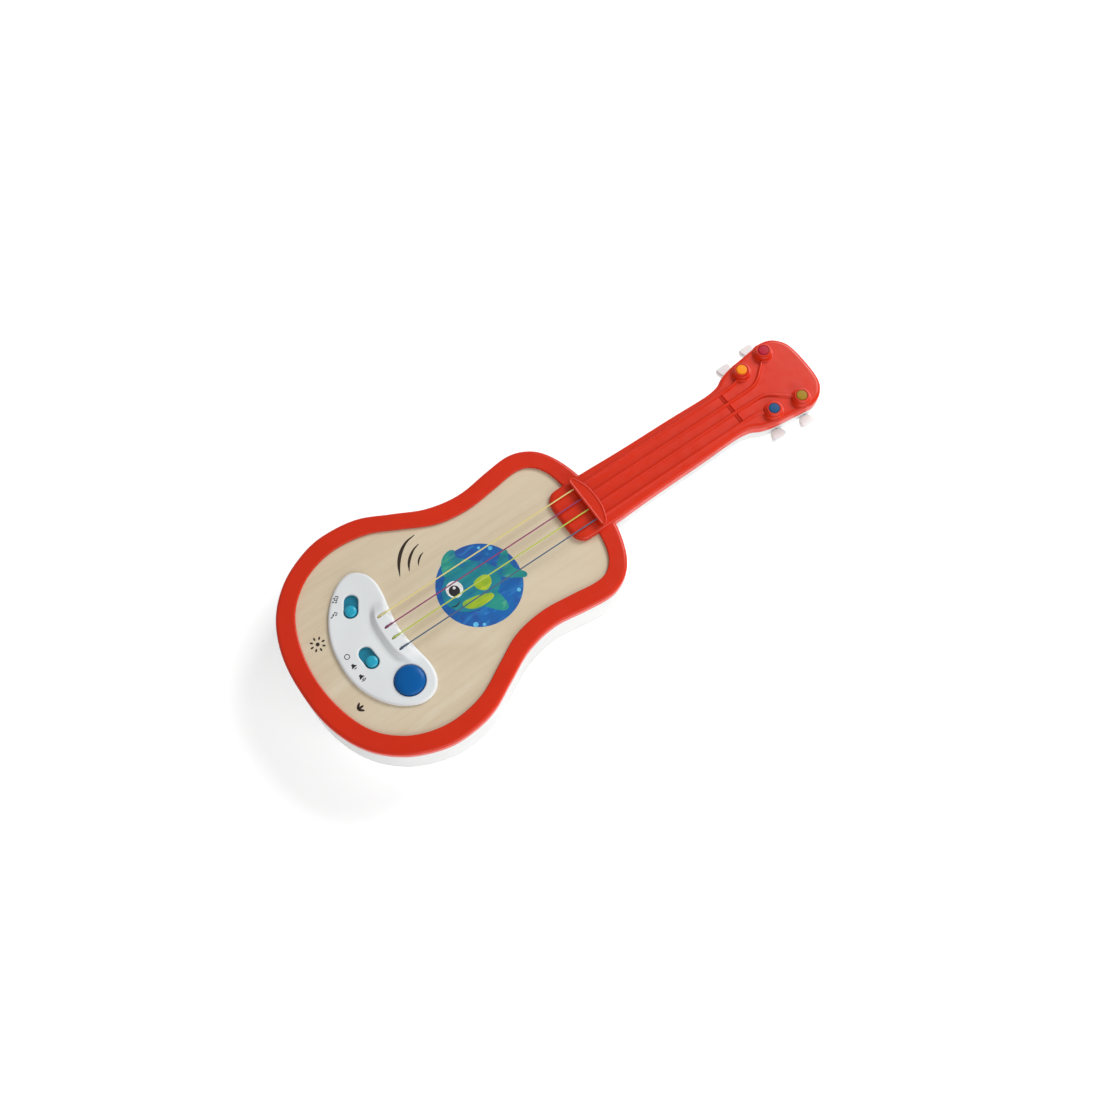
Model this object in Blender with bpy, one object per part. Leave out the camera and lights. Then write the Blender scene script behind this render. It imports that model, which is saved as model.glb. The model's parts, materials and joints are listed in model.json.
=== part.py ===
"""Toy electric guitar lying on its back: +Y runs up the neck and +Z out of the face.

All sizes below are in millimetres; meshes are made in metres. The origin is the middle of
the resting face, half way between the tail and the top of the head.
"""
import math

import bmesh
import bpy
from mathutils import Matrix, Vector
from mathutils.geometry import interpolate_bezier

MM = 0.001

# ---------------------------------------------------------------- driving dimensions

GAP = 0.3            # clearance between pieces that meet
WALL = 2.2           # wall of the mouldings
SEAM_Z = 33.0        # top edge of the back shell
FRONT_Z = SEAM_Z + GAP
RIM_Z = 39.5         # flat rim around the face
WOOD_Z = 37.5        # face of the wooden panel
WOOD_THICK = 3.0
NECK_Z = 41.5        # playing face of the neck, and face of the head
NECK_BACK_Z = 19.0   # back of the neck and head
STRING_Z = 43.0
STRING_X = (-12.9, -4.3, 4.3, 12.9)
STRING_RADIUS = 0.45
PANEL_Z = 39.7       # face of the control panel
PANEL_WALL_INSET = 2.5
BOARD_Z = 30.6       # upper face of the circuit board
BOARD_THICK = 1.6

# Right-hand halves of the outlines seen from the front, from the tail towards the head.
BODY_HALF = (
    (0, -203), (28.1, -200.2), (52.1, -190.2), (69.3, -173.5), (79.3, -153.3), (82.5, -136),
    (79.7, -111.9), (69.2, -89.9), (59.4, -69.8), (55.3, -47), (58.4, -22), (59.8, -6),
    (57.3, 4.5), (50.7, 14), (39.3, 21.1), (21.3, 26.5), (0, 28.2),
)
WINDOW_HALF = (
    (0, -190.7), (25.9, -187.4), (46.8, -178.6), (60.4, -164.5), (67.6, -148.3), (69.7, -131),
    (66.1, -110.2), (56.2, -90.5), (46.2, -70.2), (42.9, -48), (45, -25), (47.1, -8),
    (45.2, 1.3), (37.1, 8.9), (22, 13), (0, 14.2),
)
TONGUE_HALF = ((0, -2.5), (9, -2.4), (14.6, -1.6), (17.4, 0.2), (19.9, 3.6), (20.4, 10))
NECK_HALF = (
    (20.4, 17.5), (20.5, 26), (19.3, 60), (18.7, 100), (17.9, 126), (18.1, 134),
    (19.5, 141.4), (22.7, 147.5), (25.3, 156.8), (26.7, 168), (28.2, 180), (28.7, 187),
    (26.6, 193.6), (22.4, 198.3), (17.2, 201.3), (10, 202.6), (0, 203),
)
PANEL_OUTLINE = (
    (0, -173.4), (14, -172.6), (26, -168.8), (37, -162), (45.2, -153), (49.6, -142.5),
    (47.6, -133), (40.5, -127.2), (30.5, -125.6), (16, -127.6), (0, -129.2), (-13, -127.6),
    (-26, -125.2), (-36.5, -124.8), (-45, -128.2), (-50, -135.5), (-48.6, -144.5),
    (-42.5, -154), (-32, -163.2), (-17, -170.6),
)
BODY_STEPS = 2
NECK_STEPS = 2

# Profiles as (inset from the outline, height).
RIM_LEVELS = ((0, FRONT_Z), (0, 38.0), (0.7, 39.1), (2.2, RIM_Z))
NECK_LEVELS = ((0, FRONT_Z), (0, 39.0), (1.1, 40.9), (3.0, NECK_Z))
TUB_LEVELS = ((4.6, 0), (2.8, 0.4), (1.4, 1.5), (0.6, 4), (0, SEAM_Z))
NECK_BACK_LEVELS = ((5.0, NECK_BACK_Z), (2.2, 20.4), (0.7, 23.6), (0, SEAM_Z))
TUB_CAVITY_LEVELS = ((6.4, WALL), (3.6, 3.4), (2.6, 7), (WALL, SEAM_Z + 3))
NECK_CAVITY_LEVELS = ((6.0, NECK_BACK_Z + WALL), (3.2, 24), (WALL, SEAM_Z + 3))
PANEL_LEVELS = ((0, WOOD_Z + GAP), (0.1, 38.6), (0.7, 39.3), (1.9, PANEL_Z))
FLANGE_Z = WOOD_Z + GAP              # underside of the rim over the wood
NECK_PLATE_Z = NECK_Z - 2.4          # underside of the neck's face
WOOD_OVERLAP = 2.8                   # wood hidden under the rim

# Housing screws: body ones sit inside the outline at these points of BODY_HALF.
SCREW_AT = (1, 5, 9, 11)
SCREW_INSET = 6.1
SCREW_CENTRE_Y = (90, 178)           # on the centre line of the neck and of the head
POST_RADIUS = 3.6
BOSS_RADIUS = 2.6
PILOT_RADIUS = 1.7
COUNTERBORE_RADIUS = 2.5
SHOULDER_Z = 27.0                    # screw heads bear just under this height

# Head
PEG_BOSSES = ((-20.9, 182), (20.9, 182), (-17.8, 160.7), (17.8, 160.7))
BOSS_TOP_Z = 46.2
CAP_RADIUS = 3.6
CAP_Z = 45.2                         # underside of a coloured cap
RIB_RADIUS = 0.9
PEG_Z = 28.0
PEG_PLACES = ((25.0, 157.8), (27.9, 180))   # half-width of the head and height of each peg
PEG_SHAFT_RADIUS = 1.9

# Controls: centre of the slot, direction it runs in, in degrees
SLOT_LENGTH = 16.2
SLOT_WIDTH = 9.4
SLIDER_TRAVEL = SLOT_LENGTH - SLOT_WIDTH
MODE_SLOT = (-30.2, -146.9, -33)
VOLUME_SLOT = (5.2, -155.8, 4)
BUTTON_PLACE = (32.7, -142.6)
BUTTON_RADIUS = 9.9
BUTTON_HOLE_RADIUS = BUTTON_RADIUS + 0.4
BOARD_POSTS = ((-20, -137.5), (16, -137.5), (7, -165.6))

# Inside
SPEAKER_PLACE = (0, -62)
BAY_Y = -140.0
BATTERY_PITCH = 11.0
BATTERY_RADIUS = 5.15
BATTERY_LENGTH = 44.0
BATTERY_Z = 8.4
DOOR_SCREW_Y = -117.9

# ---------------------------------------------------------------- colours

RED = ("red_plastic", (0.74, 0.05, 0.025), 0.35, 0.0)
WHITE = ("white_plastic", (0.82, 0.82, 0.84), 0.4, 0.0)
WOOD = ("wood", (0.74, 0.60, 0.40), 0.6, 0.0)
TEAL = ("teal_plastic", (0.01, 0.30, 0.45), 0.3, 0.0)
BLUE = ("blue_plastic", (0.0, 0.11, 0.42), 0.35, 0.0)
CRIMSON = ("crimson_plastic", (0.55, 0.02, 0.06), 0.4, 0.0)
OLIVE = ("olive_plastic", (0.38, 0.28, 0.03), 0.4, 0.0)
ORANGE = ("orange_plastic", (1.0, 0.35, 0.01), 0.4, 0.0)
SLATE = ("slate_plastic", (0.04, 0.16, 0.42), 0.4, 0.0)
YELLOW_CORD = ("yellow_cord", (0.80, 0.66, 0.10), 0.6, 0.0)
PURPLE_CORD = ("purple_cord", (0.38, 0.05, 0.20), 0.6, 0.0)
GREEN_CORD = ("green_cord", (0.48, 0.62, 0.06), 0.6, 0.0)
BLUE_CORD = ("blue_cord", (0.10, 0.18, 0.30), 0.6, 0.0)
STEEL = ("steel", (0.60, 0.60, 0.62), 0.3, 1.0)
BOARD = ("circuit_board", (0.05, 0.25, 0.08), 0.5, 0.0)
BLACK = ("black_plastic", (0.02, 0.02, 0.02), 0.45, 0.0)
FILM = ("sensor_film", (0.65, 0.35, 0.08), 0.4, 0.0)
PAPER = ("speaker_paper", (0.06, 0.06, 0.06), 0.8, 0.0)
LABEL = ("battery_sleeve", (0.10, 0.35, 0.15), 0.4, 0.0)
RED_WIRE = ("red_wire", (0.60, 0.02, 0.02), 0.5, 0.0)
BLACK_WIRE = ("black_wire", (0.02, 0.02, 0.02), 0.5, 0.0)


# ---------------------------------------------------------------- outlines

def smooth(points, steps, closed):
    """Points on a smooth curve through the given ones, with so many steps between each two."""
    points = [Vector(point) for point in points]
    count = len(points)
    curve = []
    for i in range(count if closed else count - 1):
        near, far = points[i], points[(i + 1) % count]
        before = points[i - 1] if closed or i > 0 else near
        after = points[(i + 2) % count] if closed or i + 2 < count else far
        reach = (far - near).length / 3
        leave = near + (far - before).normalized() * reach
        arrive = far - (after - near).normalized() * reach
        curve += interpolate_bezier(near, leave, arrive, far, steps + 1)[:-1]
    if not closed:
        curve.append(points[-1])
    return [Vector(point[:2]) for point in curve]


def both_sides(half):
    """The right-hand points, then their mirror images back down the left."""
    return list(half) + [(-x, y) for x, y in reversed(half) if x > 0]


def inset(outline, distance):
    """A counter-clockwise outline moved inwards, or outwards where distance is negative."""
    moved = []
    count = len(outline)
    for i, point in enumerate(outline):
        before = (point - outline[i - 1]).normalized()
        after = (outline[(i + 1) % count] - point).normalized()
        along = (before + after).normalized()
        stretch = min(1 / max(along.dot(after), 0.5), 1.5)
        moved.append(point + Vector((-along.y, along.x)) * distance * stretch)
    return moved


def pill(length, width, sides=12):
    """A slot outline with half-round ends, centred, running along X."""
    points = []
    for end in (1, -1):
        for i in range(sides // 2 + 1):
            turn = math.pi * i / (sides // 2) - math.pi / 2
            if end < 0:
                turn += math.pi
            centre = end * (length - width) / 2
            points.append(Vector((centre + math.cos(turn) * width / 2, math.sin(turn) * width / 2)))
    return points


def rectangle(low, high, chamfer=0.0):
    """A rectangle's corners, counter-clockwise, each cut off by the chamfer."""
    if chamfer == 0:
        return [Vector(p) for p in (low, (high[0], low[1]), high, (low[0], high[1]))]
    corners = []
    for x, y, step_x, step_y in ((low[0], low[1], 1, 1), (high[0], low[1], -1, 1),
                                 (high[0], high[1], -1, -1), (low[0], high[1], 1, -1)):
        pair = [Vector((x, y + step_y * chamfer)), Vector((x + step_x * chamfer, y))]
        corners += pair if step_x == step_y else pair[::-1]
    return corners


def placed(outline, place):
    """An outline moved to (x, y) and turned by an angle in degrees."""
    turn = Matrix.Rotation(math.radians(place[2]), 2)
    return [turn @ point + Vector(place[:2]) for point in outline]


BODY_OUTLINE = smooth(both_sides(BODY_HALF), BODY_STEPS, closed=True)
WINDOW_OUTLINE = smooth(both_sides(WINDOW_HALF), BODY_STEPS, closed=True)
NECK_OUTLINE = smooth(both_sides(NECK_HALF), NECK_STEPS, closed=False)
TONGUE_NECK_OUTLINE = smooth(both_sides(TONGUE_HALF + NECK_HALF), NECK_STEPS, closed=True)
PANEL_CURVE = smooth(PANEL_OUTLINE, 2, closed=True)


def screw_places():
    """Where the housing screws go, in plan."""
    inner = inset(BODY_OUTLINE, SCREW_INSET)
    places = []
    for index in SCREW_AT:
        point = inner[index * BODY_STEPS]
        places += [(point.x, point.y), (-point.x, point.y)]
    return places + [(0, y) for y in SCREW_CENTRE_Y]


# ---------------------------------------------------------------- solids

def loft(bm, loops, ring=False, ends_across=False):
    """Skin a stack of loops with as many points each; close the ends, or join last to first.

    ends_across closes a bent end by strips between the loop's two mirrored halves.
    """
    rings = [[bm.verts.new(point) for point in loop] for loop in loops]
    pairs = list(zip(rings, rings[1:]))
    if ring:
        pairs.append((rings[-1], rings[0]))
    for low, high in pairs:
        for i in range(len(low)):
            j = (i + 1) % len(low)
            bm.faces.new((low[i], low[j], high[j], high[i]))
    if ring:
        return
    for end in (rings[0][::-1], rings[-1]):
        if not ends_across:
            bm.faces.new(end)
            continue
        for i in range((len(end) - 1) // 2):
            tip = end[i + 1] == end[-2 - i]
            bm.faces.new((end[i], end[i + 1], end[-1 - i]) if tip else
                         (end[i], end[i + 1], end[-2 - i], end[-1 - i]))


def stack(bm, outline, levels):
    """A solid whose outline is inset by a different amount at each height."""
    loft(bm, [[point.to_3d() + Vector((0, 0, z)) for point in inset(outline, amount)]
              for amount, z in levels])


def prism(bm, outline, low, high):
    stack(bm, outline, ((0, low), (0, high)))


def block(bm, low, high):
    prism(bm, rectangle(low[:2], high[:2]), low[2], high[2])


def turned(bm, profile, centre=(0, 0, 0), sides=16, ring=False, along_x=False):
    """A turned solid from (radius, height) pairs; its axis is Z, or X where along_x is set."""
    place = Matrix.Translation(centre)
    if along_x:
        place = place @ Matrix.Rotation(math.pi / 2, 4, "Y")
    turns = [2 * math.pi * i / sides for i in range(sides)]
    loft(bm, [[place @ Vector((radius * math.cos(t), radius * math.sin(t), height)) for t in turns]
              for radius, height in profile], ring)


def tube(bm, path, radius, sides=8):
    """A round bar along a path, closed at both ends."""
    loops = []
    side = None
    for i, point in enumerate(path):
        ahead = (path[min(i + 1, len(path) - 1)] - path[max(i - 1, 0)]).normalized()
        side = ahead.orthogonal() if side is None else side - ahead * side.dot(ahead)
        side.normalize()
        up = ahead.cross(side)
        turns = [2 * math.pi * (j + 0.5) / sides for j in range(sides)]
        loops.append([point + (side * math.cos(t) + up * math.sin(t)) * radius for t in turns])
    loft(bm, loops)


def rounded_path(points, steps):
    """A smooth curve in space through the given points."""
    points = [Vector(point) for point in points]
    path = []
    for i in range(len(points) - 1):
        before, after = points[max(i - 1, 0)], points[min(i + 2, len(points) - 1)]
        reach = (points[i + 1] - points[i]).length / 3
        leave = points[i] + (points[i + 1] - before).normalized() * reach
        arrive = points[i + 1] - (after - points[i]).normalized() * reach
        path += interpolate_bezier(points[i], leave, arrive, points[i + 1], steps + 1)[:-1]
    return path + [points[-1]]


# ---------------------------------------------------------------- objects

def shader(look):
    """The material of a colour constant, made once."""
    name, colour, roughness, metallic = look
    material = bpy.data.materials.get(name)
    if material is None:
        material = bpy.data.materials.new(name)
        material.use_nodes = True
        principled = material.node_tree.nodes["Principled BSDF"]
        principled.inputs["Base Color"].default_value = (*colour, 1.0)
        principled.inputs["Roughness"].default_value = roughness
        principled.inputs["Metallic"].default_value = metallic
        material.diffuse_color = (*colour, 1.0)
    return material


def add_object(name, bm, look=None, location=(0, 0, 0), turn=0.0):
    """Turn a bmesh in millimetres into an object placed in metres."""
    bmesh.ops.recalc_face_normals(bm, faces=bm.faces)
    bmesh.ops.scale(bm, vec=(MM, MM, MM), verts=bm.verts)
    mesh = bpy.data.meshes.new(name)
    bm.to_mesh(mesh)
    bm.free()
    mesh.shade_smooth()
    mesh.set_sharp_from_angle(angle=math.radians(35))
    return link_mesh(name, mesh, look, location, turn)


def link_mesh(name, mesh, look, location=(0, 0, 0), turn=0.0):
    """An object for a mesh; several objects may share one mesh."""
    obj = bpy.data.objects.new(name, mesh)
    bpy.context.scene.collection.objects.link(obj)
    obj.location = Vector(location) * MM
    obj.rotation_euler.z = math.radians(turn)
    if look is not None and not mesh.materials:
        mesh.materials.append(shader(look))
    return obj


def combine(obj, operation, name, build):
    """Join a shape to an object, or cut it away; the shape itself stays hidden."""
    bm = bmesh.new()
    build(bm)
    tool = add_object(name, bm)
    tool.parent = obj
    tool.hide_render = True
    tool.display_type = "WIRE"
    modifier = obj.modifiers.new(name, "BOOLEAN")
    modifier.operation = operation
    modifier.solver = "EXACT"
    modifier.object = tool
    return tool


def join(obj, name, build):
    return combine(obj, "UNION", f"join_{name}", build)


def cut(obj, name, build):
    return combine(obj, "DIFFERENCE", f"cut_{name}", build)


def part(name, look, build, location=(0, 0, 0), turn=0.0):
    """A sub-part from a function that fills a bmesh."""
    bm = bmesh.new()
    build(bm)
    return add_object(name, bm, look, location, turn)


def settle(obj):
    """Replace an object's mesh by its evaluated one, so that copies can share it."""
    depsgraph = bpy.context.evaluated_depsgraph_get()
    mesh = bpy.data.meshes.new_from_object(obj.evaluated_get(depsgraph))
    mesh.name = obj.name
    obj.modifiers.clear()
    obj.data = mesh
    return mesh


# ---------------------------------------------------------------- front shell

def rim_ring():
    """The rim around the face: flat top, rounded outer edge, side wall below."""
    ring = part("join_rim", None, lambda bm: stack(bm, BODY_OUTLINE, RIM_LEVELS))
    cut(ring, "rim_void", lambda bm: prism(bm, inset(BODY_OUTLINE, WALL), FRONT_Z - 2, FLANGE_Z))
    cut(ring, "window", lambda bm: prism(bm, WINDOW_OUTLINE, FRONT_Z - 3, RIM_Z + 3))
    ring.hide_render = True
    ring.display_type = "WIRE"
    return ring


def rib_paths():
    """The four ribs: straight up the neck, then swept out to the head's bosses."""
    start = 27.2
    for side in (-1, 1):
        outer = rounded_path(((13.1, start), (13.0, 60), (12.9, 145), (13.7, 151.5), (15.6, 156.5)), 2)
        inner = rounded_path(((4.3, start), (4.3, 60), (4.3, 157), (6.0, 164.5), (11.5, 172), (16.8, 178)),
                             2)
        for path in (outer, inner):
            yield [Vector((side * point.x, point.y, NECK_Z - 0.05)) for point in path]


def ribs(bm):
    for path in rib_paths():
        tube(bm, path, RIB_RADIUS, sides=6)


def head_bosses(bm):
    profile = ((6.1, NECK_Z - 1), (6.1, 44.2), (5.6, 45.4), (4.6, BOSS_TOP_Z))
    for x, y in PEG_BOSSES:
        turned(bm, profile, (x, y, 0))


def nut(bm):
    block(bm, (-12.6, 137.0, NECK_Z - 1), (12.6, 140.6, NECK_Z + 0.8))


def screw_bosses(bm):
    for x, y in screw_places():
        top = NECK_PLATE_Z if x == 0 else FLANGE_Z
        turned(bm, ((BOSS_RADIUS, FRONT_Z), (BOSS_RADIUS, top + 0.8)), (x, y, 0), sides=10)


def front_holes(bm):
    for x, y in screw_places():
        turned(bm, ((PILOT_RADIUS, FRONT_Z - 2), (PILOT_RADIUS, 37.2)), (x, y, 0), sides=8)
    for x, y in PEG_BOSSES:
        radius = CAP_RADIUS + GAP
        turned(bm, ((radius, CAP_Z - GAP), (radius, BOSS_TOP_Z + 2)), (x, y, 0))
    for x, y in GUARD_PINS:
        radius = GUARD_PIN_RADIUS + GAP
        turned(bm, ((radius, NECK_PLATE_Z - 2), (radius, NECK_Z + 2)), (x, y, 0), sides=8)


def front_shell():
    shell = part("front_shell", RED, lambda bm: stack(bm, TONGUE_NECK_OUTLINE, NECK_LEVELS))
    cut(shell, "tongue_underside", lambda bm: block(bm, (-26, -12, 30), (26, 17.5, FLANGE_Z)))
    ring = rim_ring()
    ring.parent = shell
    modifier = shell.modifiers.new("join_rim", "BOOLEAN")
    modifier.operation = "UNION"
    modifier.solver = "EXACT"
    modifier.object = ring
    cut(shell, "neck_void", lambda bm: prism(bm, inset(NECK_OUTLINE, WALL), FRONT_Z - 3, NECK_PLATE_Z))
    join(shell, "ribs", ribs)
    join(shell, "nut", nut)
    join(shell, "bosses", head_bosses)
    join(shell, "screw_bosses", screw_bosses)
    cut(shell, "front_holes", front_holes)


# ---------------------------------------------------------------- back shell

HEEL_Y = 24.0
HEEL_REACH = 17.0
HEEL_DEPTH = 0.62


def neck_trough(bm, levels):
    """The neck's back or its hollow, which deepens into a heel where it meets the body."""
    loops = []
    for amount, z in levels:
        loop = []
        for point in inset(NECK_OUTLINE, amount):
            heel = 1 + HEEL_DEPTH * math.exp(-((point.y - HEEL_Y) / HEEL_REACH) ** 2)
            loop.append(Vector((point.x, point.y, SEAM_Z - (SEAM_Z - z) * heel)))
        loops.append(loop)
    loft(bm, loops, ends_across=True)


def screw_posts(bm):
    for x, y in screw_places():
        foot = NECK_BACK_Z + 1.5 if x == 0 else 1.2
        turned(bm, ((POST_RADIUS, foot), (POST_RADIUS, SEAM_Z)), (x, y, 0), sides=10)


def screw_bores(bm):
    profile = ((COUNTERBORE_RADIUS, -2), (COUNTERBORE_RADIUS, SHOULDER_Z),
               (PILOT_RADIUS, SHOULDER_Z), (PILOT_RADIUS, SEAM_Z + 1))
    for x, y in screw_places():
        turned(bm, profile, (x, y, 0), sides=8)


def grille_slots(bm):
    for i in range(-3, 4):
        x = i * 4.4
        length = 2 * math.sqrt(17.0 ** 2 - x ** 2)
        place = (SPEAKER_PLACE[0] + x, SPEAKER_PLACE[1], 90)
        prism(bm, placed(pill(length, 2.2, sides=6), place), -2, 4)


def peg_holes(bm):
    radius = PEG_SHAFT_RADIUS + 0.4
    for x, y in PEG_PLACES:
        for side in (-1, 1):
            turned(bm, ((radius, -6), (radius, 6)), (side * x, y, PEG_Z), sides=10, along_x=True)


BAY_HALF_X = 25.0
BAY_HALF_Y = 16.8
BAY_TOP_Z = 14.4
LEDGE = 4.0
DOOR_SEAT_Z = 2.3
DOOR_TOP_Y = -112.6
TAB_PLACES = ((1, BAY_Y + BATTERY_PITCH), (-1, BAY_Y - BATTERY_PITCH))


def bay_block(bm):
    block(bm, (-BAY_HALF_X - 6, BAY_Y - BAY_HALF_Y - 5, 1.2),
          (BAY_HALF_X + 6, DOOR_TOP_Y + 2.4, BAY_TOP_Z + 2))


def bay_pocket(bm):
    block(bm, (-BAY_HALF_X, BAY_Y - BAY_HALF_Y, DOOR_SEAT_Z - 0.5),
          (BAY_HALF_X, BAY_Y + BAY_HALF_Y, BAY_TOP_Z))


def door_recess(bm):
    block(bm, (-BAY_HALF_X - LEDGE, BAY_Y - BAY_HALF_Y - 2.7, -2),
          (BAY_HALF_X + LEDGE, DOOR_TOP_Y, DOOR_SEAT_Z))


def bay_details(bm):
    profile = ((4.6, 1), (4.6, 4.4), (PILOT_RADIUS, 4.4), (PILOT_RADIUS, 12.5))
    turned(bm, profile, (0, DOOR_SCREW_Y, 0), sides=12)
    for side, y in TAB_PLACES:
        low, high = sorted((side * 23.9, side * 25.0))
        block(bm, (low, y - 1.6, BAY_TOP_Z - 1), (high, y + 1.6, BAY_TOP_Z + 3))


def back_shell():
    shell = part("back_shell", WHITE, lambda bm: stack(bm, BODY_OUTLINE, TUB_LEVELS))
    join(shell, "neck_back", lambda bm: neck_trough(bm, NECK_BACK_LEVELS))
    cavity = cut(shell, "tub_cavity", lambda bm: stack(bm, BODY_OUTLINE, TUB_CAVITY_LEVELS))
    join(cavity, "neck_cavity", lambda bm: neck_trough(bm, NECK_CAVITY_LEVELS))
    join(shell, "screw_posts", screw_posts)
    join(shell, "bay_block", bay_block)
    seat = ((20.9, 1.4), (23.2, 1.4), (23.2, 7.0), (20.9, 7.0))
    join(shell, "speaker_seat", lambda bm: turned(bm, seat, (*SPEAKER_PLACE, 0), 20, ring=True))
    cut(shell, "screw_bores", screw_bores)
    cut(shell, "grille", grille_slots)
    cut(shell, "peg_holes", peg_holes)
    cut(shell, "bay_pocket", bay_pocket)
    cut(shell, "door_recess", door_recess)
    cut(shell, "bay_details", bay_details)


# ---------------------------------------------------------------- face, guard and strings

def wood_face():
    face = part("wood_face", WOOD,
                lambda bm: prism(bm, inset(WINDOW_OUTLINE, -WOOD_OVERLAP), WOOD_Z - WOOD_THICK, WOOD_Z))
    opening = inset(PANEL_CURVE, PANEL_WALL_INSET - GAP)
    cut(face, "panel_opening", lambda bm: prism(bm, opening, WOOD_Z - WOOD_THICK - 2, WOOD_Z + 2))


GUARD_HALF = (
    (17.6, 16.2), (19.4, 16.9), (20.2, 18.6), (18.9, 20.6), (15.2, 22.6), (8, 24.9), (0, 25.5),
)
GUARD_PINS = ((-9, 20.2), (9, 20.2))
GUARD_PIN_RADIUS = 1.5
GUARD_LEVELS = ((1.2, NECK_Z + GAP), (1.2, 43.9), (0, 44.3), (0, 45.0), (0.5, 45.7), (1.5, 46.0))


def guard_outline():
    """A shallow D with its flat edge towards the body."""
    return smooth(both_sides(GUARD_HALF), 2, closed=False)


def guard_string_holes(bm):
    for x in STRING_X:
        path = [Vector((x, 12.5, STRING_Z)), Vector((x, 22.4 - abs(x) / 6, STRING_Z))]
        tube(bm, path, STRING_RADIUS + GAP + 0.1, sides=8)


def guard_pins(bm):
    profile = ((GUARD_PIN_RADIUS, NECK_PLATE_Z - 0.8), (GUARD_PIN_RADIUS, NECK_Z + 1.2))
    for x, y in GUARD_PINS:
        turned(bm, profile, (x, y, 0), sides=8)


def string_guard():
    guard = part("string_guard", RED, lambda bm: stack(bm, guard_outline(), GUARD_LEVELS))
    join(guard, "guard_pins", guard_pins)
    cut(guard, "string_holes", guard_string_holes)


STRING_HOLE_Y = -136.6


def strings():
    """Each string comes up out of the bridge hump, bends over and runs to the guard."""
    looks = (YELLOW_CORD, PURPLE_CORD, GREEN_CORD, BLUE_CORD)
    bend = 1.6
    for number, (x, look) in enumerate(zip(STRING_X, looks), 1):
        path = [Vector((x, STRING_HOLE_Y, 38.6))]
        for i in range(5):
            turn = math.pi / 2 * i / 4
            path.append(Vector((x, STRING_HOLE_Y + bend * (1 - math.cos(turn)),
                                STRING_Z - bend * (1 - math.sin(turn)))))
        path.append(Vector((x, 21.8 - abs(x) / 6, STRING_Z)))
        part(f"string_{number}", look, lambda bm, path=path: tube(bm, path, STRING_RADIUS, sides=6))


# ---------------------------------------------------------------- control panel

HUMP_CENTRE = (0.4, -136.3)
HUMP_LEVELS = ((25.0, 7.4, 39.0), (23.6, 6.6, 40.8), (21.4, 5.6, 42.2), (18.6, 4.2, 43.2),
               (16.4, 3.0, 43.5))


def oval_loops(levels, sides=24):
    """Loops of a flattened oval at each (half length, half width, height)."""
    power = 2 / 2.6
    loops = []
    for long, wide, z in levels:
        loop = []
        for i in range(sides):
            c = math.cos(2 * math.pi * i / sides)
            s = math.sin(2 * math.pi * i / sides)
            loop.append(Vector((HUMP_CENTRE[0] + long * math.copysign(abs(c) ** power, c),
                                HUMP_CENTRE[1] + wide * math.copysign(abs(s) ** power, s), z)))
        loops.append(loop)
    return loops


def panel_wall(bm):
    """The wall behind the panel that locates it in the wood."""
    low, high = SEAM_Z + 0.9, WOOD_Z + 0.8
    outer, inner = inset(PANEL_CURVE, PANEL_WALL_INSET), inset(PANEL_CURVE, PANEL_WALL_INSET + 1.6)
    loops = []
    for outline, z in ((outer, low), (outer, high), (inner, high), (inner, low)):
        loops.append([point.to_3d() + Vector((0, 0, z)) for point in outline])
    loft(bm, loops, ring=True)


def panel_posts(bm):
    for x, y in BOARD_POSTS:
        turned(bm, ((2.7, BOARD_Z + GAP), (2.7, WOOD_Z + 0.9)), (x, y, 0), sides=10)


def panel_holes(bm):
    for place in (MODE_SLOT, VOLUME_SLOT):
        prism(bm, placed(pill(SLOT_LENGTH, SLOT_WIDTH, sides=14), place), 36, 42)
    turned(bm, ((BUTTON_HOLE_RADIUS, 36), (BUTTON_HOLE_RADIUS, 42)), (*BUTTON_PLACE, 0), sides=24)
    for x, y in BOARD_POSTS:
        turned(bm, ((1.6, BOARD_Z - 1), (1.6, 36.6)), (x, y, 0), sides=8)
    for x in STRING_X:
        turned(bm, ((1.0, 35), (1.0, 46)), (x, STRING_HOLE_Y, 0), sides=8)


def string_grooves(bm):
    """Open channels in the hump that lead the strings to their holes."""
    half = STRING_RADIUS + 0.35
    for x in STRING_X:
        block(bm, (x - half, STRING_HOLE_Y, STRING_Z - half),
              (x + half, STRING_HOLE_Y + 14, STRING_Z + 4))


def control_panel():
    panel = part("control_panel", WHITE, lambda bm: stack(bm, PANEL_CURVE, PANEL_LEVELS))
    join(panel, "bridge_hump", lambda bm: loft(bm, oval_loops(HUMP_LEVELS)))
    join(panel, "panel_wall", panel_wall)
    join(panel, "panel_posts", panel_posts)
    cut(panel, "panel_holes", panel_holes)
    cut(panel, "string_grooves", string_grooves)


def slot_end(place):
    """The knob's rest position: the end of the slot that its direction points to."""
    turn = math.radians(place[2])
    return (place[0] + math.cos(turn) * SLIDER_TRAVEL / 2, place[1] + math.sin(turn) * SLIDER_TRAVEL / 2)


SKIRT_Z = (36.1, 37.4)
KNOB_PROFILE = ((3.9, 36.8), (3.9, 40.1), (3.5, 40.9), (2.5, 41.3))
SWITCH_TOP_Z = 34.2


def slider_skirt(bm):
    outline = pill(SLOT_LENGTH + SLIDER_TRAVEL + 1.0, SLOT_WIDTH + 1.6, sides=12)
    prism(bm, outline, *SKIRT_Z)


def slider_fork(bm):
    for side in (-1, 1):
        near, far = sorted((side * 1.3, side * 2.5))
        block(bm, (near, -1.6, SWITCH_TOP_Z + 0.4), (far, 1.6, SKIRT_Z[0] + 0.4))


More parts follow.
